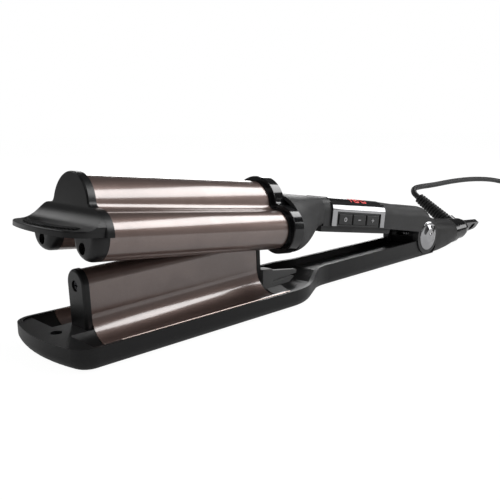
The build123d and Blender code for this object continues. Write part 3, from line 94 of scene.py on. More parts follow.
class Graph:
    """Adds nodes to one node tree and joins them."""

    def __init__(self, tree: bpy.types.NodeTree) -> None:
        """Keep the tree that the nodes go into."""
        self.tree = tree

    def add(self, kind: str, settings: dict[str, object] | None = None,
            **inputs: object) -> bpy.types.Node:
        """Add one node.

        Args:
            kind: the node's type name, without the "ShaderNode" in front.
            settings: the node's own properties, by name.
            **inputs: a value or an output socket for each input, its name with _ for each space.

        Returns:
            The new node.
        """
        node = self.tree.nodes.new("ShaderNode" + kind)
        for name, value in (settings or {}).items():
            setattr(node, name, value)
        self.feed_all(node, **inputs)
        return node

    def feed_all(self, node: bpy.types.Node, **inputs: object) -> None:
        """Feed several inputs of a node.

        Args:
            node: the node that has the inputs.
            **inputs: a value or an output socket for each input, its name with _ for each space.
        """
        for name, value in inputs.items():
            self.feed(node, name.replace("_", " "), value)

    def feed(self, node: bpy.types.Node, name: str | int, value: object) -> None:
        """Give an input of a node a value, or join it to an output socket.

        Args:
            node: the node that has the input.
            name: the input's name, or its place in the list.
            value: a number, a colour or an output socket.
        """
        socket = node.inputs[name]
        if isinstance(value, bpy.types.NodeSocket):
            self.tree.links.new(value, socket)
        elif isinstance(value, tuple) and socket.type == "RGBA" and len(value) == 3:
            socket.default_value = (*value, 1.0)
        else:
            socket.default_value = value

    def math(self, operation: str, first: object, second: object) -> bpy.types.NodeSocket:
        """Add a Math node.

        Args:
            operation: the Math node's operation.
            first: the first number or socket.
            second: the second number or socket.

        Returns:
            The result's socket.
        """
        node = self.add("Math", {"operation": operation})
        self.feed(node, 0, first)
        self.feed(node, 1, second)
        return node.outputs[0]

    def weigh(self, first: object, second: object, share: float) -> bpy.types.NodeSocket:
        """Add two values by weight: share of the first and the rest of the second.

        Args:
            first: the first socket.
            second: the second socket.
            share: the first one's weight, from 0 to 1.

        Returns:
            The sum's socket.
        """
        return self.math("ADD", self.math("MULTIPLY", first, share),
                         self.math("MULTIPLY", second, 1.0 - share))

    def blend(self, factor: object, first: object, second: object) -> bpy.types.NodeSocket:
        """Mix two colours.

        Args:
            factor: how much of the second colour there is.
            first: the first colour or socket.
            second: the second colour or socket.

        Returns:
            The mixed colour's socket.
        """
        node = self.add("Mix", {"data_type": "RGBA"})
        colour_inputs, colour_output = (6, 7), 2
        self.feed(node, 0, factor)
        for place, value in zip(colour_inputs, (first, second)):
            self.feed(node, place, value)
        return node.outputs[colour_output]

    def mix_shaders(self, factor: object, first: bpy.types.Node,
                    second: bpy.types.Node) -> bpy.types.Node:
        """Mix two shaders.

        Args:
            factor: how much of the second shader there is.
            first: the first shader's node.
            second: the second shader's node.

        Returns:
            The mixing node.
        """
        node = self.add("MixShader")
        self.feed(node, 0, factor)
        self.feed(node, 1, first.outputs[0])
        self.feed(node, 2, second.outputs[0])
        return node

    def spread(self, value: object, low: float, high: float) -> bpy.types.NodeSocket:
        """Map a value between 0 and 1 to the range from low to high.

        Args:
            value: the socket to map.
            low: what 0 becomes.
            high: what 1 becomes.

        Returns:
            The mapped value's socket.
        """
        node = self.add("MapRange", Value=value, To_Min=low, To_Max=high)
        return node.outputs["Result"]

    def bump(self, shader: bpy.types.Node, height: object, depth: float) -> None:
        """Raise a shader's surface by a height between 0 and 1.

        Args:
            shader: the shader whose Normal is fed.
            height: the socket with the height.
            depth: the greatest height.
        """
        node = self.add("Bump", Height=height, Distance=depth, Strength=1.0)
        self.feed(shader, "Normal", node.outputs[0])


class Group(Graph):
    """A shader node group that takes named numbers and reads the Object coordinates."""

    def __init__(self, name: str, inputs: dict[str, float], outputs: tuple[str, ...]) -> None:
        """Make the group with its sockets.

        Args:
            name: the group's name.
            inputs: the number that each input starts with, by name.
            outputs: the names of the outputs, all of them numbers.
        """
        super().__init__(bpy.data.node_groups.new(name, "ShaderNodeTree"))
        sides = {"INPUT": inputs, "OUTPUT": dict.fromkeys(outputs, 0.0)}
        for side, numbers in sides.items():
            for label, value in numbers.items():
                socket = self.tree.interface.new_socket(name=label, in_out=side,
                                                        socket_type="NodeSocketFloat")
                socket.default_value = value
        self.given = self.tree.nodes.new("NodeGroupInput").outputs
        self.result = self.tree.nodes.new("NodeGroupOutput")
        self.place = self.add("TexCoord").outputs["Object"]


def made_once(build: Callable[[], bpy.types.NodeTree]) -> Callable[[], bpy.types.NodeTree]:
    """Let a node group be made only the first time it is asked for.

    Args:
        build: the function that makes the group, which has the group's name.

    Returns:
        A function that returns the group.
    """
    @wraps(build)
    def find() -> bpy.types.NodeTree:
        """Return the group if it is there already, or else make it."""
        return bpy.data.node_groups.get(build.__name__) or build()

    return find


class Effect:
    """The node groups that more than one finish uses."""

    @staticmethod
    @made_once
    def moulded_grain() -> bpy.types.NodeTree:
        """Fine spark-eroded grain: two sizes of noise added, and a mask of its hollows.

        Returns:
            A group with Grains (per metre) and the outputs Height and Hollows, both from 0 to 1.
        """
        fine_ratio, coarse_share = 1.7, 0.6
        group = Group("moulded_grain", {"Grains": 2500.0}, ("Height", "Hollows"))
        grains = group.given["Grains"]
        coarse = group.add("TexNoise", Vector=group.place, Scale=grains, Detail=3.0)
        fine = group.add("TexVoronoi", Vector=group.place,
                         Scale=group.math("MULTIPLY", grains, fine_ratio))
        height = group.weigh(coarse.outputs[0], fine.outputs["Distance"], coarse_share)
        hollows = group.math("SUBTRACT", 1.0, height)
        group.feed_all(group.result, Height=height, Hollows=hollows)
        return group.tree

    @staticmethod
    @made_once
    def handling() -> bpy.types.NodeTree:
        """Broad soft patches where hands have polished or dulled a surface.

        Returns:
            A group with Patches (per metre) and the output Amount, from 0 to 1.
        """
        bare, rubbed = 0.35, 0.68
        group = Group("handling", {"Patches": 45.0}, ("Amount",))
        cloud = group.add("TexNoise", Vector=group.place, Scale=group.given["Patches"], Detail=4.0,
                          Roughness=0.55, Distortion=0.4)
        ramp = group.add("MapRange", {"interpolation_type": "SMOOTHSTEP"}, Value=cloud.outputs[0],
                         From_Min=bare, From_Max=rubbed)
        group.feed(group.result, "Amount", ramp.outputs["Result"])
        return group.tree

    @staticmethod
    @made_once
    def drawn_lines() -> bpy.types.NodeTree:
        """Hairlines along X, left by finishing a metal lengthways.

        Returns:
            A group with Lines (per metre, across) and the output Height, from 0 to 1.
        """
        lengthways = (0.03, 1.0, 1.0)
        group = Group("drawn_lines", {"Lines": 3000.0}, ("Height",))
        along = group.add("Mapping", Vector=group.place, Scale=lengthways)
        lines = group.add("TexNoise", Vector=along.outputs[0], Scale=group.given["Lines"],
                          Detail=2.0)
        group.feed(group.result, "Height", lines.outputs[0])
        return group.tree


def start_material(name: str) -> tuple[bpy.types.Material, Graph, bpy.types.Node]:
    """Make a material with nothing in it but a Principled shader.

    Args:
        name: the material's name.

    Returns:
        The material, a Graph of its tree and the shader node.
    """
    material = bpy.data.materials.new(name)
    material.use_nodes = True
    material.node_tree.nodes.clear()
    graph = Graph(material.node_tree)
    shader = graph.add("BsdfPrincipled")
    graph.add("OutputMaterial", Surface=shader.outputs[0])
    return material, graph, shader


# ---------------------------------------------------------------------------------------------
# Finishes
# ---------------------------------------------------------------------------------------------


@dataclass(frozen=True)
class Moulding:
    """Moulded plastic: a grained skin that hands have polished in patches."""

    name: str
    colour: Colour
    roughness: float
    polish: float
    grains: float
    depth: float
    gloss: float = 0.5
    coat: float = 0.0
    coat_roughness: float = 0.06
    patches: float = 38.0
    pale_ratio: float = 1.35
    pale_lift: float = 0.003
    hollow_share: float = 0.6

    def build(self) -> bpy.types.Material:
        """Make the material.

        Returns:
            The material, with its colour, roughness and bump from noise in Object coordinates.
        """
        material, graph, shader = start_material(self.name)
        grain = graph.add("Group", {"node_tree": Effect.moulded_grain()}, Grains=self.grains)
        hands = graph.add("Group", {"node_tree": Effect.handling()}, Patches=self.patches)
        pale = tuple(min(1.0, c * self.pale_ratio + self.pale_lift) for c in self.colour)
        hollows = graph.math("MULTIPLY", grain.outputs["Hollows"], self.hollow_share)
        rough = graph.spread(hands.outputs["Amount"], self.roughness, self.roughness - self.polish)
        graph.feed_all(shader, Base_Color=graph.blend(hollows, pale, self.colour), Roughness=rough,
                       Specular_IOR_Level=self.gloss, Coat_Weight=self.coat,
                       Coat_Roughness=self.coat_roughness)
        graph.bump(shader, grain.outputs["Height"], self.depth)
        return material


@dataclass(frozen=True)
class Metal:
    """Metal or metallic coating, with hairlines, fine speckle and slight clouding."""

    name: str
    colour: Colour
    shade: Colour
    roughness: float
    clouding: float = 0.1
    lines: float = 3000.0
    depth: float = 0.004 * MM
    metallic: float = 1.0
    coat: float = 0.0
    coat_ior: float = 1.5
    coat_roughness: float = 0.12
    patches: float = 60.0
    specks: float = 1400.0
    speck_share: float = 0.5

    def build(self) -> bpy.types.Material:
        """Make the material.

        Returns:
            The material, whose colour and roughness cloud over in soft patches.
        """
        material, graph, shader = start_material(self.name)
        lines = graph.add("Group", {"node_tree": Effect.drawn_lines()}, Lines=self.lines)
        hands = graph.add("Group", {"node_tree": Effect.handling()}, Patches=self.patches)
        amount = hands.outputs["Amount"]
        place = graph.add("TexCoord").outputs["Object"]
        speck = graph.add("TexNoise", Vector=place, Scale=self.specks, Detail=2.0)
        mixed = graph.weigh(speck.outputs[0], amount, self.speck_share)
        rough = graph.spread(amount, self.roughness, self.roughness + self.clouding)
        graph.feed_all(shader, Base_Color=graph.blend(mixed, self.colour, self.shade),
                       Metallic=self.metallic, Roughness=rough, Coat_Weight=self.coat,
                       Coat_Roughness=self.coat_roughness, Coat_IOR=self.coat_ior)
        graph.bump(shader, lines.outputs["Height"], self.depth)
        return material


@dataclass(frozen=True)
class SmokedWindow:
    """Dark glossy window, a little dusty, over which the digits glow."""

    name: str
    colour: Colour
    dust: float = 0.012
    clean: float = 0.04
    dusty: float = 0.13
    coat: float = 0.6
    coat_roughness: float = 0.03
    patches: float = 90.0

    def build(self) -> bpy.types.Material:
        """Make the material.

        Returns:
            A near-black gloss whose roughness rises in soft patches.
        """
        material, graph, shader = start_material(self.name)
        hands = graph.add("Group", {"node_tree": Effect.handling()}, Patches=self.patches)
        amount = hands.outputs["Amount"]
        dust = tuple(c + self.dust for c in self.colour)
        graph.feed_all(shader, Base_Color=graph.blend(amount, self.colour, dust),
                       Roughness=graph.spread(amount, self.clean, self.dusty),
                       Coat_Weight=self.coat, Coat_Roughness=self.coat_roughness)
        return material


@dataclass(frozen=True)
class Glow:
    """Lit segment of the display, a little uneven along its length."""

    name: str
    colour: Colour
    strength: float
    dim: float = 0.55
    unevenness: float = 700.0
    roughness: float = 0.4

    def build(self) -> bpy.types.Material:
        """Make the material.

        Returns:
            An emitting surface whose brightness wavers with a soft noise.
        """
        material, graph, shader = start_material(self.name)
        place = graph.add("TexCoord").outputs["Object"]
        waver = graph.add("TexNoise", Vector=place, Scale=self.unevenness, Detail=1.0)
        dim = tuple(c * self.dim for c in self.colour)
        graph.feed_all(shader, Base_Color=dim, Roughness=self.roughness,
                       Emission_Color=graph.blend(waver.outputs[0], dim, self.colour),
                       Emission_Strength=self.strength)
        return material


class Finish(Enum):
    """Every finish of the tool."""

    SOFT_TOUCH = Moulding("soft_touch_black", (0.023, 0.023, 0.0235), roughness=0.5, polish=0.1,
                          grains=2600.0, depth=0.02 * MM, gloss=0.34)
    SHELL = Moulding("matt_black", (0.006, 0.006, 0.0063), roughness=0.42, polish=0.08,
                     grains=2400.0, depth=0.018 * MM, gloss=0.3)
    CAP = Moulding("cap_black", (0.005, 0.005, 0.0053), roughness=0.34, polish=0.06,
                   grains=2800.0, depth=0.012 * MM, gloss=0.42)
    GLOSS = Moulding("gloss_black", (0.004, 0.004, 0.0045), roughness=0.12, polish=0.04,
                     grains=3500.0, depth=0.0015 * MM, gloss=0.4, coat=0.25)
    KEY = Moulding("key_black", (0.011, 0.011, 0.0115), roughness=0.3, polish=0.06,
                   grains=3500.0, depth=0.005 * MM, gloss=0.4)
    RUBBER = Moulding("cord_black", (0.013, 0.013, 0.0135), roughness=0.46, polish=0.1,
                      grains=1800.0, depth=0.02 * MM, gloss=0.35)
    GREY = Moulding("heat_grey", (0.13, 0.13, 0.13), roughness=0.55, polish=0.1,
                    grains=2000.0, depth=0.02 * MM, gloss=0.35)
    SYMBOL = Moulding("printed_white", (0.5, 0.5, 0.51), roughness=0.5, polish=0.05,
                      grains=4000.0, depth=0.004 * MM, gloss=0.4)
    BRONZE = Metal("rose_bronze", (0.215, 0.15, 0.132), (0.165, 0.112, 0.097), roughness=0.42,
                   clouding=0.05, lines=1500.0, depth=0.002 * MM, metallic=0.72, coat=1.0,
                   coat_ior=1.95, coat_roughness=0.14)
    # Paler, glossier copy of the bronze: a painted highlight for the bright line along the plate
    # rims.
    BRIGHT_BRONZE = Metal("painted_highlight_bronze", (0.6, 0.5, 0.46), (0.5, 0.41, 0.37), roughness=0.3,
                          clouding=0.05, lines=1500.0, depth=0.001 * MM)
    CHROME = Metal("chrome", (0.46, 0.46, 0.47), (0.4, 0.4, 0.41), roughness=0.05,
                   clouding=0.03, lines=4000.0, depth=0.0006 * MM)
    STEEL = Metal("steel", (0.5, 0.5, 0.51), (0.42, 0.42, 0.43), roughness=0.22)
    DARK_STEEL = Metal("black_steel", (0.06, 0.06, 0.065), (0.045, 0.045, 0.05), roughness=0.3)
    BRASS = Metal("brass", (0.72, 0.55, 0.28), (0.62, 0.45, 0.2), roughness=0.2)
    ALLOY = Metal("alloy", (0.55, 0.55, 0.56), (0.45, 0.45, 0.46), roughness=0.35, lines=1500.0)
    CERAMIC = Moulding("ceramic", (0.75, 0.73, 0.7), roughness=0.5, polish=0.1, grains=3000.0,
                       depth=0.01 * MM, gloss=0.4)
    BOARD = Moulding("board", (0.02, 0.16, 0.07), roughness=0.4, polish=0.1, grains=1500.0,
                     depth=0.01 * MM)
    WINDOW = SmokedWindow("display_window", (0.004, 0.004, 0.005))
    LIT = Glow("display_lit", (0.8, 0.055, 0.05), strength=0.9)

    def material(self) -> bpy.types.Material:
        """Return the finish's material, made the first time it is asked for."""
        return bpy.data.materials.get(self.value.name + "_finish") or self._make()

    def _make(self) -> bpy.types.Material:
        """Build the material and name it."""
        material = self.value.build()
        material.name = self.value.name + "_finish"
        return material


NODE_FINISHES: dict[Finish, tuple[str, ...]] = {
    Finish.SOFT_TOUCH: ("upper_housing", "handle_lower_cover"),
    Finish.SHELL: ("lower_shell", "lower_deck", "arm_liner", "ridge_rear_cap"),
    Finish.CAP: ("front_cap", "lobe_end_caps", "ridge_front_cap", "ridge_anchor"),
    Finish.GLOSS: ("rear_collar", "heat_break_ring", "control_panel", "tail_ring", "swivel_body",
                   "hanging_loop"),
    Finish.KEY: ("button_power", "button_minus", "button_plus"),
    Finish.RUBBER: ("strain_relief", "cord_end", "plug"),
    Finish.GREY: ("heat_shield", "trough_scoops"),
    Finish.BRONZE: ("upper_wave_plate", "lower_wave_plate"),
    Finish.CHROME: ("control_bezel", "hinge_caps"),
    Finish.STEEL: ("hinge_pin", "hinge_spring"),
    Finish.DARK_STEEL: ("deck_screw", "ridge_cap_screw", "lobe_cap_screws", "cover_screws"),
    Finish.BRASS: ("plug_pins",),
    Finish.ALLOY: ("heater_cradles", "heater_wedges", "lower_heater_clip"),
    Finish.CERAMIC: ("upper_heaters", "lower_heater"),
    Finish.BOARD: ("main_pcb", "display_module", "tact_switches"),
    Finish.WINDOW: ("display_window",),
}


def dress_nodes(frame: dict) -> None:
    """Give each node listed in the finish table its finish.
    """
    for finish, names in NODE_FINISHES.items():
        for name in names:
            node = frame["nodes"][name]
            node.data.materials.clear()
            node.data.materials.append(finish.material())
            LOG.info("%s: %s", name, finish.value.name)


# ---------------------------------------------------------------------------------------------
# Surfaces
# ---------------------------------------------------------------------------------------------


@dataclass(frozen=True)
class Surface:
    """A grid of points of shape (u, v, 3), and where it closes.

    The faces join (u, v), (u, v+1), (u+1, v+1), (u+1, v), so the outside is where d/dv x d/du
    points. Where closed is set, the last column joins the first. A cap closes the first or the last
    row by a fan of triangles round a point in its middle.
    """

    grid: np.ndarray
    closed: bool = False
    first_cap: bool = False
    last_cap: bool = False

    def points(self) -> np.ndarray:
        """List the grid's points, and after them the middles of both end rows."""
        middles = [self.grid[0].mean(axis=0), self.grid[-1].mean(axis=0)]
        chosen = [middle for middle, cap in zip(middles, (self.first_cap, self.last_cap)) if cap]
        return np.vstack([self.grid.reshape(-1, 3), *chosen])

    def faces(self, start: int) -> list[list[int]]:
        """List the corners of every face.

        Args:
            start: the number of the surface's first point.

        Returns:
            Quads for the grid, then triangles for the caps.
        """
        rows, columns = self.grid.shape[:2]
        v = np.arange(columns if self.closed else columns - 1)
        after = (v + 1) % columns
        row = np.arange(rows - 1)[:, None] * columns
        quads = np.stack([row + v, row + after, row + columns + after, row + columns + v], axis=-1)
        faces = (start + quads.reshape(-1, 4)).tolist()
        pole = np.full_like(v, start + rows * columns)
        if self.first_cap:
            faces += np.stack([pole, start + after, start + v], axis=-1).tolist()
            pole = pole + 1
        if self.last_cap:
            base = start + (rows - 1) * columns
            faces += np.stack([pole, base + v, base + after], axis=-1).tolist()
        return faces


def make_piece(name: str, surfaces: list[Surface]) -> bpy.types.Object:
    """Turn surfaces into one smooth mesh object at the origin.

    Args:
        name: the object's name.
        surfaces: its surfaces, in place in the frame.

    Returns:
        The object, linked to the scene.
    """
    blocks = [surface.points() for surface in surfaces]
    starts = np.cumsum([0] + [len(block) for block in blocks]).tolist()
    faces = [face for surface, start in zip(surfaces, starts) for face in surface.faces(start)]
    mesh = bpy.data.meshes.new(name)
    mesh.from_pydata(np.vstack(blocks).tolist(), [], faces)
    mesh.polygons.foreach_set("use_smooth", np.ones(len(mesh.polygons), dtype=bool))
    mesh.validate()
    mesh.set_sharp_from_angle(angle=SHARP)
    piece = bpy.data.objects.new(name, mesh)
    bpy.context.scene.collection.objects.link(piece)
    return piece


def finish_piece(piece: bpy.types.Object, finish: Finish, body: str) -> None:
    """Give a piece its finish and the body it moves with.

    Args:
        piece: the object, in place in the frame.
        finish: its finish.
        body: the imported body's name.
    """
    piece.data.materials.append(finish.material())
    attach(piece, body)
    LOG.info("%s: %d faces on %s", piece.name, len(piece.data.polygons), body)


def thicken(piece: bpy.types.Object, thickness: float) -> None:
    """Give a flat sheet its thickness, half of it to each side.

    Args:
        piece: the sheet.
        thickness: the whole thickness.
    """
    solid = piece.modifiers.new("thickness", "SOLIDIFY")
    solid.thickness = thickness
    solid.offset = 0.0


def squared_circle(count: int, power: float) -> np.ndarray:
    """Work out a circle drawn out towards the corners of its square.

    The cosine and the sine of the angle keep their signs, and their sizes are raised to the power.

    Args:
        count: points round it.
        power: 1 for a circle, less for squarer corners.

    Returns:
        Points of shape (count, 2), from -1 to 1.
    """
    angle = np.linspace(0.0, 2 * np.pi, count, endpoint=False)
    wave = np.stack([np.cos(angle), np.sin(angle)], axis=-1)
    return np.sign(wave) * np.abs(wave) ** power


def lathe(origin: Point, axis: Point, profile: np.ndarray, sides: int) -> np.ndarray:
    """Turn a profile about an axis: each point goes round a circle of its radius.

    Args:
        origin: the point on the axis from which distances along it count.
        axis: the axis's direction, not along X.
        profile: points of shape (n, 2), the distance along the axis and the radius.
        sides: points round the axis.

    Returns:
        A grid of shape (n, sides, 3).
    """
    along = np.array(axis, dtype=float)
    along /= np.linalg.norm(along)
    side = np.cross(along, (1.0, 0.0, 0.0))
    side /= np.linalg.norm(side)
    up = np.cross(along, side)
    angle = np.linspace(0.0, 2 * np.pi, sides, endpoint=False)[:, None]
    ring = np.cos(angle) * side + np.sin(angle) * up
    middle = np.array(origin) + profile[:, :1] * along
    return middle[:, None, :] + profile[:, 1][:, None, None] * ring[None]


# ---------------------------------------------------------------------------------------------
# Cord and its boot
# ---------------------------------------------------------------------------------------------


@dataclass
class SupplyCord:
    """The cord from the ribbed boot over the table into its coil, and on to the plug.

    The route, the coil and the tail are in millimetres, with X counted from the hinge.
    """

    hinge: Point
    diameter: float = 4.5 * MM
    length: float = 1.8
    route: tuple[Point, ...] = (
        (66.0, 33.11, 31.91), (66.0, 36.6, 34.2), (68.4, 39.8, 36.4), (73.6, 42.6, 38.4),
        (86.0, 44.4, 38.8), (108.0, 43.8, 38.7), (143.0, 44.2, 39.7), (185.0, 44.0, 38.9),
        (232.0, 43.0, 34.5), (262.0, 27.0, 24.0), (269.0, -3.0, 12.5), (256.0, -31.0, 4.6),
        (232.0, -49.0, 2.6), (204.0, -51.4, 2.5),
    )
    tail: tuple[Point, ...] = ((176.0, -52.6, 3.6), (162.0, -52.6, 6.85), (149.0, -52.6, 6.85))
    coil_middle: Pair = (195.0, -20.0)
    coil_stations: tuple[Point, ...] = (
        (0.00, 31.9, 2.45), (0.5, 31.7, 2.4), (1.5, 27.2, 2.4), (2.5, 22.7, 2.4), (3.4, 18.4, 2.4),
        (3.75, 19.4, 5.9), (4.6, 20.6, 6.35), (5.6, 25.0, 6.35), (6.4, 29.2, 6.35),
        (6.8, 26.0, 9.7), (7.2, 22.9, 10.3), (8.0, 23.4, 10.3), (8.7, 27.4, 10.3), (9.0, 28.2, 9.6),
    )
    entry_angle: float = -74.0
    wander: float = 0.35
    wander_rate: float = 2.3
    points_a_turn: int = 16
    sides: int = 20
    blend_start: Point = (4.0 * MM, -2.0 * MM, 0.0)
    blend_run: Point = (84.6 * MM, -50.8 * MM, 0.0)

    def coil_points(self) -> np.ndarray:
        """Work out the control points of the coil's turns, clockwise seen from above.

        The radius and height run evenly between the stations, each (turn, radius, height). The
        middle of a span of the spline takes three quarters of one control point and an eighth of
        each neighbour, so it lies inside them, and the radius is first made larger by as much. A
        slow sine of the turn makes the turns differ.

        Returns:
            Points of shape (n, 3), in millimetres, X from the hinge.
        """
        stations = np.array(self.coil_stations)
        turns = np.arange(1, int(stations[-1, 0] * self.points_a_turn)) / self.points_a_turn
        radius = np.interp(turns, stations[:, 0], stations[:, 1])
        height = np.interp(turns, stations[:, 0], stations[:, 2])
        own, neighbours = 0.75, 0.25
        radius = radius / (own + neighbours * math.cos(2 * math.pi / self.points_a_turn))
        radius = radius + self.wander * np.sin(turns * self.wander_rate)
        angle = np.radians(self.entry_angle) - 2 * np.pi * turns
        x = self.coil_middle[0] + radius * np.cos(angle)
        y = self.coil_middle[1] + radius * np.sin(angle)
        return np.stack([x, y, height], axis=-1)

    def centreline(self) -> np.ndarray:
        """Lay the smooth line through the route, the coil and the run to the plug.

        Returns:
            Points of shape (n, 3) along the NURBS spline.
        """
        control = np.vstack([self.route, self.coil_points(), self.tail])
        control = control * MM + (self.hinge[0], 0.0, 0.0)
        curve = bpy.data.curves.new("cord_line", "CURVE")
        curve.dimensions = "3D"
        curve.resolution_u = 5
        spline = curve.splines.new("NURBS")
        spline.points.add(len(control) - 1)
        weights = np.ones((len(control), 1))
        spline.points.foreach_set("co", np.hstack([control, weights]).ravel())
        spline.order_u = 3
        spline.use_endpoint_u = True
        holder = bpy.data.objects.new("cord_line", curve)
        line = bpy.data.meshes.new_from_object(holder)
        points = np.empty(len(line.vertices) * 3)
        line.vertices.foreach_get("co", points)
        bpy.data.objects.remove(holder)
        return points.reshape(-1, 3)

    def tube(self, line: np.ndarray) -> np.ndarray:
        """Sweep a circle along a line without twist.

        Each ring's side direction is the last one with its part along the new tangent taken off, so
        the rings follow the line with no turn of their own.

        Args:
            line: points of shape (n, 3).

        Returns:
            A grid of shape (n, sides, 3).
        """
        tangent = np.gradient(line, axis=0)
        tangent /= np.linalg.norm(tangent, axis=1, keepdims=True)
        side = np.empty_like(line)
        last = np.cross(tangent[0], (0.0, 0.0, 1.0))
        for index, along in enumerate(tangent):
            last = last - along * np.dot(last, along)
            last /= np.linalg.norm(last)
            side[index] = last
        up = np.cross(side, tangent)
        angle = np.linspace(0.0, 2 * np.pi, self.sides, endpoint=False)[None, :, None]
        ring = np.cos(angle) * side[:, None, :] + np.sin(angle) * up[:, None, :]
        return line[:, None, :] + ring * self.diameter / 2

    def build(self) -> None:
        """Sweep the cord along its line in place of the imported cord, coil and end, and log its
        length.
        """
        line = self.centreline()
        tube = Surface(self.tube(line), closed=True, first_cap=True, last_cap=True)
        cord = make_piece("supply_cord", [tube])
        cord.data.materials.append(Finish.RUBBER.material())
        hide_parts("cord", "cord_coil", "cord_end")
        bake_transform(cord)
        run = float(np.linalg.norm(np.diff(line, axis=0), axis=1).sum())
        LOG.info("supply_cord: %.1f mm along its line", run / MM)


@dataclass
class CordBoot:
    """Ribbed flexible boot that keeps the cord from kinking at the swivel."""

    root: Point
    lift: float = 33.5
    start: float = 6.9 * MM
    end: float = 39.6 * MM
    base_radius: float = 5.35 * MM
    tip_radius: float = 4.15 * MM
    tip_round: float = 0.8 * MM
    bore: float = 2.3 * MM
    bore_depth: float = 3.0 * MM
    ribs: int = 13
    points_a_rib: int = 40
    lip: float = 1.8 * MM
    lip_points: int = 9
    groove: float = 1.05 * MM
    groove_power: int = 6
    sides: int = 48

    def profile(self) -> np.ndarray:
        """Work out the half section.

        The radius tapers evenly. A cosine to a high even power cuts the narrow grooves, and a
        quarter round closes the tip down to the cord.

        Returns:
            Points of shape (n, 2), distance along the boot and radius.
        """
        along = np.linspace(self.start, self.end - self.lip, self.points_a_rib * self.ribs)
        share = (along - self.start) / (self.end - self.start)
        taper = self.base_radius + (self.tip_radius - self.base_radius) * share
        phase = (along - self.start) / (self.end - self.lip - self.start) * self.ribs
        radius = taper - self.groove * np.cos(np.pi * phase) ** self.groove_power
        turn = np.linspace(0.0, np.pi / 2, self.lip_points + 1)[1:]
        lip = np.stack([self.end - self.tip_round * (1.0 - np.sin(turn)),
                        self.tip_radius - self.tip_round * (1.0 - np.cos(turn))], axis=-1)
        mouth = np.array([[self.end, self.bore], [self.end - self.bore_depth, self.bore]])
        return np.vstack([np.stack([along, radius], axis=-1), lip, mouth])

    def build(self) -> None:
        """Make the boot in place of its plain solid."""
        slope = math.radians(self.lift)
        grid = lathe(self.root, (0.0, math.cos(slope), math.sin(slope)), self.profile(), self.sides)
        piece = make_piece("cord_boot", [Surface(grid, closed=True, first_cap=True, last_cap=True)])
        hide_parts("strain_relief")
        finish_piece(piece, Finish.RUBBER, "cord_swivel")


# ---------------------------------------------------------------------------------------------
# Key signs and display digits
# ---------------------------------------------------------------------------------------------


class Sign(Enum):
    """The plain sign on each key, named as the key is."""

    POWER = "power"
    MINUS = "minus"
    PLUS = "plus"


@dataclass
class KeySigns:
    """White signs printed on the three keys: a power sign, a minus and a plus.

    The power sign's ring radius, and its stroke's middle and half length, are shares of the size.
    """

    size: float = 2.6 * MM
    line: float = 0.42 * MM
    lift: float = 0.03 * MM
    thickness: float = 0.05 * MM
    corner_power: float = 0.4
    ring_radius: float = 0.42
    ring_gap: float = 34.0
    stroke_middle: float = 0.3
    stroke_half: float = 0.27
    bar_points: int = 32
    arc_points: int = 49

    def bar(self, half_along: float, half_up: float, up: float = 0.0) -> Surface:
        """Work out a flat bar with small round corners, in the X-Z plane.

        Args:
            half_along: half its length along the key.
            half_up: half its height.
            up: how far its middle lies above the key's.

        Returns:
            A fan round the bar's middle.
        """
        corners = squared_circle(self.bar_points, self.corner_power)
        outline = corners * (half_along, half_up) + (0.0, up)
        return Surface(self.level(outline[None]), closed=True, first_cap=True)

    def arc(self) -> Surface:
        """Work out an open ring: two circles of different radius, with a gap at the top."""
        first, last = 90.0 + self.ring_gap, 450.0 - self.ring_gap
        angle = np.radians(np.linspace(first, last, self.arc_points))
        edges = self.size * self.ring_radius + np.array([-self.line / 2, self.line / 2])
        circle = np.stack([np.cos(angle), np.sin(angle)], axis=-1)
        return Surface(self.level(edges[:, None, None] * circle[None]))

    def level(self, flat: np.ndarray) -> np.ndarray:
        """Lean points with the panel's slope.

        Args:
            flat: points of shape (u, v, 2), along the key and up it.

        Returns:
            Points of shape (u, v, 3), round the origin.
        """
        along, up = flat[..., 0], flat[..., 1]
        x = along * math.cos(PANEL_SLOPE) + up * math.sin(PANEL_SLOPE)
        z = up * math.cos(PANEL_SLOPE) - along * math.sin(PANEL_SLOPE)
        return np.stack([x, np.zeros_like(x), z], axis=-1)

    def strokes(self, sign: Sign) -> list[Surface]:
        """List the flat strokes of a sign.

        Args:
            sign: which sign.

        Returns:
            Its strokes, round the origin.
        """
        if sign is Sign.POWER:
            return [self.arc(), self.bar(self.line / 2, self.size * self.stroke_half,
                                         self.size * self.stroke_middle)]
        level = self.bar(self.size / 2, self.line / 2)
        if sign is Sign.MINUS:
            return [level]
        return [level, self.bar(self.line / 2, self.size / 2)]

    def build(self) -> None:
        """Print each sign on the middle of its key."""
        for sign in Sign:
            low, high = (np.array(corner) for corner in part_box(f"button_{sign.value}"))
            place = np.array([(low[0] + high[0]) / 2, low[1] - self.lift, (low[2] + high[2]) / 2])
            strokes = [Surface(stroke.grid + place, stroke.closed, stroke.first_cap)
                       for stroke in self.strokes(sign)]
            piece = make_piece(f"key_sign_{sign.value}", strokes)
            thicken(piece, self.thickness)
            finish_piece(piece, Finish.SYMBOL, f"{sign.value}_key")


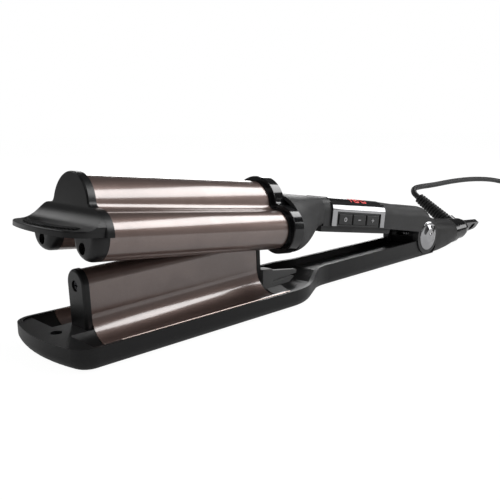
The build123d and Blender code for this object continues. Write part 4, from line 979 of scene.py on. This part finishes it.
@dataclass
class DisplayDigits:
    """Lit seven-segment digits that follow the window's flat top and round corner.

    The gap at each end of a segment is a share of the line's width.
    """

    reading: str = "180"
    window_end: Pair = (-15.2145 * MM, 50.7715 * MM)
    window_length: float = 50.0 * MM
    corner_y: float = -7.0 * MM
    corner_radius: float = 7.3 * MM
    top_edge: float = 0.5 * MM
    height: float = 4.9 * MM
    width: float = 4.7 * MM
    pitch: float = 7.3 * MM
    line: float = 0.85 * MM
    gap: float = 0.3
    lift: float = 0.04 * MM
    corner_power: float = 0.3
    rings: int = 6
    ring_points: int = 40
    lit: dict[str, str] = field(default_factory=lambda: {"0": "abcdef", "1": "bc", "8": "abcdefg"})

    def segment(self, name: str) -> tuple[Pair, Pair]:
        """Place one segment of a digit.

        Args:
            name: a to g, from the top clockwise, with g in the middle.

        Returns:
            The middle, along and down from the digit's top left, and half the length and height.
        """
        side, level = self.width / 2, self.height / 2
        left, right = self.line / 2, self.width - self.line / 2
        flat = (side - 2 * self.gap * self.line, self.line / 2)
        upright = (self.line / 2, level / 2 - self.gap * self.line)
        places = {
            "a": ((side, self.line / 2), flat), "g": ((side, level), flat),
            "d": ((side, self.height - self.line / 2), flat),
            "b": ((right, level / 2), upright), "c": ((right, level * 1.5), upright),
            "e": ((left, level * 1.5), upright), "f": ((left, level / 2), upright),
        }
        return places[name]

    def on_window(self, along: np.ndarray, down: np.ndarray) -> np.ndarray:
        """Lay points on the window: straight over its top, then along the arc of its corner.

        Args:
            along: distance from the window's middle towards the tail.
            down: distance from the corner's start, round the corner.

        Returns:
            Points with one more axis.
        """
        turn = np.clip(down, 0.0, None) / self.corner_radius
        reach = self.corner_radius + self.lift
        y = self.corner_y - np.minimum(down, 0.0) - reach * np.sin(turn)
        sink = self.corner_radius - reach * np.cos(turn)
        start = along + self.window_length / 2
        end_x, end_z = self.window_end
        x = end_x + start * math.cos(PANEL_SLOPE) - sink * math.sin(PANEL_SLOPE)
        z = end_z - start * math.sin(PANEL_SLOPE) - sink * math.cos(PANEL_SLOPE)
        return np.stack([x, y, z], axis=-1)

    def build(self) -> None:
        """Make the digits, each segment a bar of rings that shrink evenly to its middle."""
        left = -self.pitch * (len(self.reading) - 1) / 2 - self.width / 2
        shares = np.linspace(0.0, 1.0, self.rings + 1)[1:, None, None]
        rings = shares * squared_circle(self.ring_points, self.corner_power)
        segments = []
        for place, figure in enumerate(self.reading):
            for name in self.lit[figure]:
                middle, half = self.segment(name)
                along = left + place * self.pitch + middle[0] + rings[..., 0] * half[0]
                down = self.top_edge + middle[1] + rings[..., 1] * half[1]
                grid = self.on_window(along, down)
                segments.append(Surface(grid, closed=True, first_cap=True))
        piece = make_piece("display_digits", segments)
        thicken(piece, self.lift)
        finish_piece(piece, Finish.LIT, "upper_arm")


# ---------------------------------------------------------------------------------------------
# Hinge domes, heat guard and plate rims
# ---------------------------------------------------------------------------------------------


@dataclass
class HingeDomes:
    """Two bright domed discs on the ends of the hinge pin."""

    hinge: Point
    face: float = 16.3 * MM
    back: float = 13.4 * MM
    radius: float = 9.9 * MM
    crown: float = 1.9 * MM
    rim: float = 0.35 * MM
    ripple: float = 0.3 * MM
    hub: float = 0.02 * MM
    dome_points: int = 40
    rim_points: int = 8
    sides: int = 96

    def profile(self) -> np.ndarray:
        """Work out the half section: a rippled parabola, a quarter round at the rim, and the wall.

        Returns:
            Points of shape (n, 2), distance along the pin and radius.
        """
        inner = self.radius - self.rim
        radius = np.linspace(self.hub, inner, self.dome_points)
        share = radius / inner
        dip = self.ripple * np.sin(2 * np.pi * share) ** 2
        dome = np.stack([self.face - self.crown * share ** 2 - dip, radius], axis=-1)
        turn = np.linspace(0.0, np.pi / 2, self.rim_points + 1)[1:]
        edge = np.stack([self.face - self.crown - self.rim * (1.0 - np.cos(turn)),
                         inner + self.rim * np.sin(turn)], axis=-1)
        wall = np.array([[self.back, self.radius]])
        return np.vstack([dome, edge, wall])[::-1]

    def build(self) -> None:
        """Make both domes as one piece."""
        grids = [lathe(self.hinge, (0.0, direction, 0.0), self.profile(), self.sides)
                 for direction in (-1.0, 1.0)]
        piece = make_piece("hinge_domes", [Surface(grid, closed=True, first_cap=True, last_cap=True)
                                           for grid in grids])
        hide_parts("hinge_caps")
        finish_piece(piece, Finish.CHROME, "upper_arm")


@dataclass(frozen=True)
class Slab:
    """An upright slab across the middle plane, its sizes and its corners (X, Z) in millimetres."""

    corners: tuple[Pair, ...]
    half: float
    edge: float
    rounding: float = 0.8
    curve_points: int = 6

    def outline(self) -> np.ndarray:
        """Round the corners: each becomes a short quadratic curve pulled towards the corner.

        Returns:
            Points of shape (n, 2).
        """
        here = np.array(self.corners)
        to_last = np.roll(here, 1, axis=0) - here
        to_next = np.roll(here, -1, axis=0) - here
        first = here + to_last / np.linalg.norm(to_last, axis=1, keepdims=True) * self.rounding
        last = here + to_next / np.linalg.norm(to_next, axis=1, keepdims=True) * self.rounding
        t = np.linspace(0.0, 1.0, self.curve_points)[None, :, None]
        curve = (first[:, None] * (1 - t) ** 2 + 2 * here[:, None] * t * (1 - t)
                 + last[:, None] * t ** 2)
        return curve.reshape(-1, 2)

    def surface(self) -> Surface:
        """Carry the outline from face to face, drawn in towards its middle on both faces.

        Returns:
            The closed slab, in metres.
        """
        outline = self.outline()
        from_middle = outline - outline.mean(axis=0)
        reach = np.linalg.norm(from_middle, axis=1, keepdims=True)
        inner = outline - from_middle * self.edge / reach
        inside = self.half - self.edge
        rows = [(inner, -self.half), (outline, -inside), (outline, inside), (inner, self.half)]
        grid = np.stack([np.insert(shape, 1, y, axis=1) for shape, y in rows])
        return Surface(grid * MM, closed=True, first_cap=True, last_cap=True)


@dataclass
class HeatGuard:
    """Grey resin behind the ridge: a block, and a tapering fin over a round-ended web."""

    block: Slab = Slab(((-62.8, 4.5), (-62.8, 15.4), (-54.7, 14.6), (-54.7, 4.5)), 3.45, 0.35)
    fin: Slab = Slab(((-55.0, 7.6), (-55.0, 13.4), (-33.4, 10.6), (-33.4, 8.4)), 1.5, 0.25)
    web: Slab = Slab(((-55.0, 4.5), (-55.0, 6.7), (-36.4, 7.5), (-40.5, 4.5)), 2.6, 0.4)
    stem: Slab = Slab(((-56.0, 4.5), (-56.0, 12.6), (-36.0, 9.8), (-42.0, 4.5)), 0.9, 0.1)

    def build(self) -> None:
        """Make the guard in place of its plain solid."""
        slabs = (self.block, self.fin, self.web, self.stem)
        guard = make_piece("heat_guard", [slab.surface() for slab in slabs])
        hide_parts("heat_shield")
        finish_piece(guard, Finish.GREY, "lower_arm")


@dataclass
class PlateRims:
    """Rolled edges of the lower plate along both rims of the shell, in a paler bronze that paints
    their highlight.
    """

    front: float = -166.0 * MM
    rear: float = -68.2 * MM
    side: float = 27.95 * MM
    level: float = 9.32 * MM
    radius: float = 0.36 * MM
    rings: int = 33
    sides: int = 16

    def bead(self, y: float) -> Surface:
        """Carry a circle along a straight line.

        Args:
            y: where the line runs.

        Returns:
            The closed bead.
        """
        x = np.linspace(self.front, self.rear, self.rings)[:, None]
        angle = np.linspace(0.0, 2 * np.pi, self.sides, endpoint=False)[None, :]
        grid = np.stack(np.broadcast_arrays(x, y + self.radius * np.cos(angle),
                                            self.level + self.radius * np.sin(angle)), axis=-1)
        return Surface(grid, closed=True, first_cap=True, last_cap=True)

    def build(self) -> None:
        """Make both rims as one piece."""
        rims = make_piece("plate_rims", [self.bead(-self.side), self.bead(self.side)])
        # The paler bronze paints the highlight along the rims.
        finish_piece(rims, Finish.BRIGHT_BRONZE, "lower_arm")


# ---------------------------------------------------------------------------------------------
# Studio
# ---------------------------------------------------------------------------------------------


@dataclass
class Viewpoint:
    """The camera: where it stands, which way it looks (in degrees) and its lens."""

    place: Point = (-0.287815, -0.228389, 0.091029)
    yaw: float = -44.140
    pitch: float = 11.048
    roll: float = 0.774
    lens: float = 43.904
    sensor: float = 36.0
    shift: Pair = (-0.00684, -0.00928)
    nearest: float = 5.0 * MM

    def build(self) -> None:
        """Make the camera and set it as the scene's.

        It looks along the yaw, down by the pitch, and then turns about its view by the roll.
        """
        yaw, pitch, roll = (math.radians(angle) for angle in (self.yaw, self.pitch, self.roll))
        level = Vector((-math.sin(yaw), math.cos(yaw), 0.0))
        ahead = level * math.cos(pitch) - Vector((0.0, 0.0, math.sin(pitch)))
        right = Vector((math.cos(yaw), math.sin(yaw), 0.0))
        down = ahead.cross(right)
        turned_right = right * math.cos(roll) + down * math.sin(roll)
        turned_down = down * math.cos(roll) - right * math.sin(roll)
        camera = bpy.data.cameras.new("camera")
        camera.lens = self.lens
        camera.sensor_width = self.sensor
        camera.clip_start = self.nearest
        camera.shift_x, camera.shift_y = self.shift
        holder = bpy.data.objects.new("camera", camera)
        turn = Matrix((turned_right, -turned_down, -ahead)).transposed()
        holder.matrix_world = Matrix.Translation(self.place) @ turn.to_4x4()
        bpy.context.scene.collection.objects.link(holder)
        bpy.context.scene.camera = holder


@dataclass(frozen=True)
class SoftBox:
    """One flat lamp that looks at a point of the tool."""

    name: str
    place: Point
    aim: Point
    size: Pair
    power: float

    def build(self) -> None:
        """Make the lamp."""
        lamp = bpy.data.lights.new(self.name, "AREA")
        lamp.shape = "RECTANGLE"
        lamp.size, lamp.size_y = self.size
        lamp.energy = self.power
        holder = bpy.data.objects.new(self.name, lamp)
        away = Vector(self.place) - Vector(self.aim)
        turn = away.to_track_quat("Z", "Y").to_matrix()
        holder.matrix_world = Matrix.Translation(self.place) @ turn.to_4x4()
        bpy.context.scene.collection.objects.link(holder)
        LOG.info("lamp %s: %.1f W", self.name, self.power)


@dataclass
class Studio:
    """The pale floor, the white backdrop under a dark ceiling, and the soft lamps.

    The floor's white, and the backdrop's levels in gloss, are shares of plain white. The heights of
    the backdrop's top and of the fade's end are sines of a ray's elevation.
    """

    floor_half: float = 6.0
    floor_lines: int = 9
    floor_drop: float = 0.2 * MM
    floor_white: float = 0.86
    floor_glow: float = 1.12
    floor_shade: float = 0.6
    floor_gloss: float = 0.15
    surround: float = 0.4
    ceiling: float = 0.05
    backdrop_top: float = 0.12
    fade_top: float = 0.35
    boxes: tuple[SoftBox, ...] = (
        SoftBox("side_box", (0.69, -0.43, 0.82), (-0.12, 0.0, 0.05), (1.15, 0.42), 8.4),
        SoftBox("nose_box", (-0.75, -0.2, 1.0), (-0.15, 0.0, 0.04), (0.5, 0.3), 0.8),
        SoftBox("far_box", (0.82, 0.95, 0.34), (-0.1, 0.0, 0.04), (0.8, 0.32), 3.4),
        SoftBox("back_box", (-0.45, 1.15, 0.75), (-0.05, 0.0, 0.04), (0.9, 0.4), 2.0),
        SoftBox("tail_box", (1.307, -0.707, 0.316), (0.005, -0.015, 0.043), (0.45, 0.5), 2.0),
    )

    def seen(self, graph: Graph, camera: float, gloss: object) -> bpy.types.NodeSocket:
        """Work out how much plain white a ray sees.

        Args:
            graph: the tree's graph.
            camera: the share that the camera sees.
            gloss: the share that gloss and glass see, a number or a socket.

        Returns:
            The share's socket, 0 for diffuse light.
        """
        path = graph.add("LightPath").outputs
        shiny = graph.math("MAXIMUM", path["Is Glossy Ray"], path["Is Transmission Ray"])
        return graph.math("ADD", graph.math("MULTIPLY", path["Is Camera Ray"], camera),
                          graph.math("MULTIPLY", shiny, gloss))

    def build_world(self) -> None:
        """Make the surround: even soft light for the tool, a white backdrop for what is seen.

        Gloss sees the backdrop at the floor's level up to its top, from where it fades to the dark
        ceiling.
        """
        world = bpy.data.worlds.new("surround")
        world.use_nodes = True
        bpy.context.scene.world = world
        world.node_tree.nodes.clear()
        graph = Graph(world.node_tree)
        ray = graph.add("SeparateXYZ", Vector=graph.add("TexCoord").outputs["Generated"])
        fade = graph.add("MapRange", {"interpolation_type": "SMOOTHSTEP"}, Value=ray.outputs["Z"],
                         From_Min=self.backdrop_top, From_Max=self.fade_top,
                         To_Min=self.floor_gloss, To_Max=self.ceiling)
        soft = graph.add("Background", Color=WHITE, Strength=self.surround)
        black = graph.add("Background", Color=BLACK, Strength=1.0)
        white = graph.add("Background", Color=WHITE, Strength=1.0)
        shown = graph.mix_shaders(self.seen(graph, 1.0, fade.outputs["Result"]), black, white)
        mixed = graph.mix_shaders(self.seen(graph, 1.0, 1.0), soft, shown)
        graph.add("OutputWorld", Surface=mixed.outputs[0])

    def build_floor(self) -> None:
        """Lay the floor, a matt sheet that keeps the tool's shadow."""
        side = np.linspace(-self.floor_half, self.floor_half, self.floor_lines)
        x, y = np.meshgrid(side, side, indexing="ij")
        sheet = Surface(np.stack([x, y, np.full_like(x, -self.floor_drop)], axis=-1))
        floor = make_piece("floor", [sheet])
        material = bpy.data.materials.new("pale_floor")
        material.use_nodes = True
        material.node_tree.nodes.clear()
        graph = Graph(material.node_tree)
        matt = graph.add("BsdfDiffuse", Color=(self.floor_shade,) * 3)
        white = graph.add("Emission", Color=WHITE, Strength=self.floor_glow)
        share = self.seen(graph, self.floor_white, self.floor_gloss)
        mixed = graph.mix_shaders(share, matt, white)
        graph.add("OutputMaterial", Surface=mixed.outputs[0])
        floor.data.materials.append(material)

    def build(self) -> None:
        """Make the surround, the floor and the lamps, and set the plain view."""
        bpy.context.scene.view_settings.view_transform = "Standard"
        self.build_world()
        self.build_floor()
        for box in self.boxes:
            box.build()


def joint_place(frame: dict, name: str) -> Point:
    """Find where a hinge's axis lies.

    Args:
        name: the joint's name in the record.

    Returns:
        A point on the axis.
    """
    places = {joint["name"]: joint.get("pos_m") for joint in frame["joints"]}
    return tuple(places[name])


def main() -> None:
    """Build the dressed tool and its studio."""
    logging.basicConfig(level=logging.INFO, format="%(name)s: %(message)s")
    for leftover in list(bpy.data.objects):
        bpy.data.objects.remove(leftover)
    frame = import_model()
    Viewpoint().build()
    dress_nodes(frame)
    hinge, swivel = joint_place(frame, "jaw_hinge"), joint_place(frame, "cord_turn")
    for assembly in (SupplyCord(hinge), CordBoot(swivel), HingeDomes(hinge), KeySigns(),
                     DisplayDigits(), HeatGuard(), PlateRims(), Studio()):
        assembly.build()


if __name__ == "__main__":
    main()
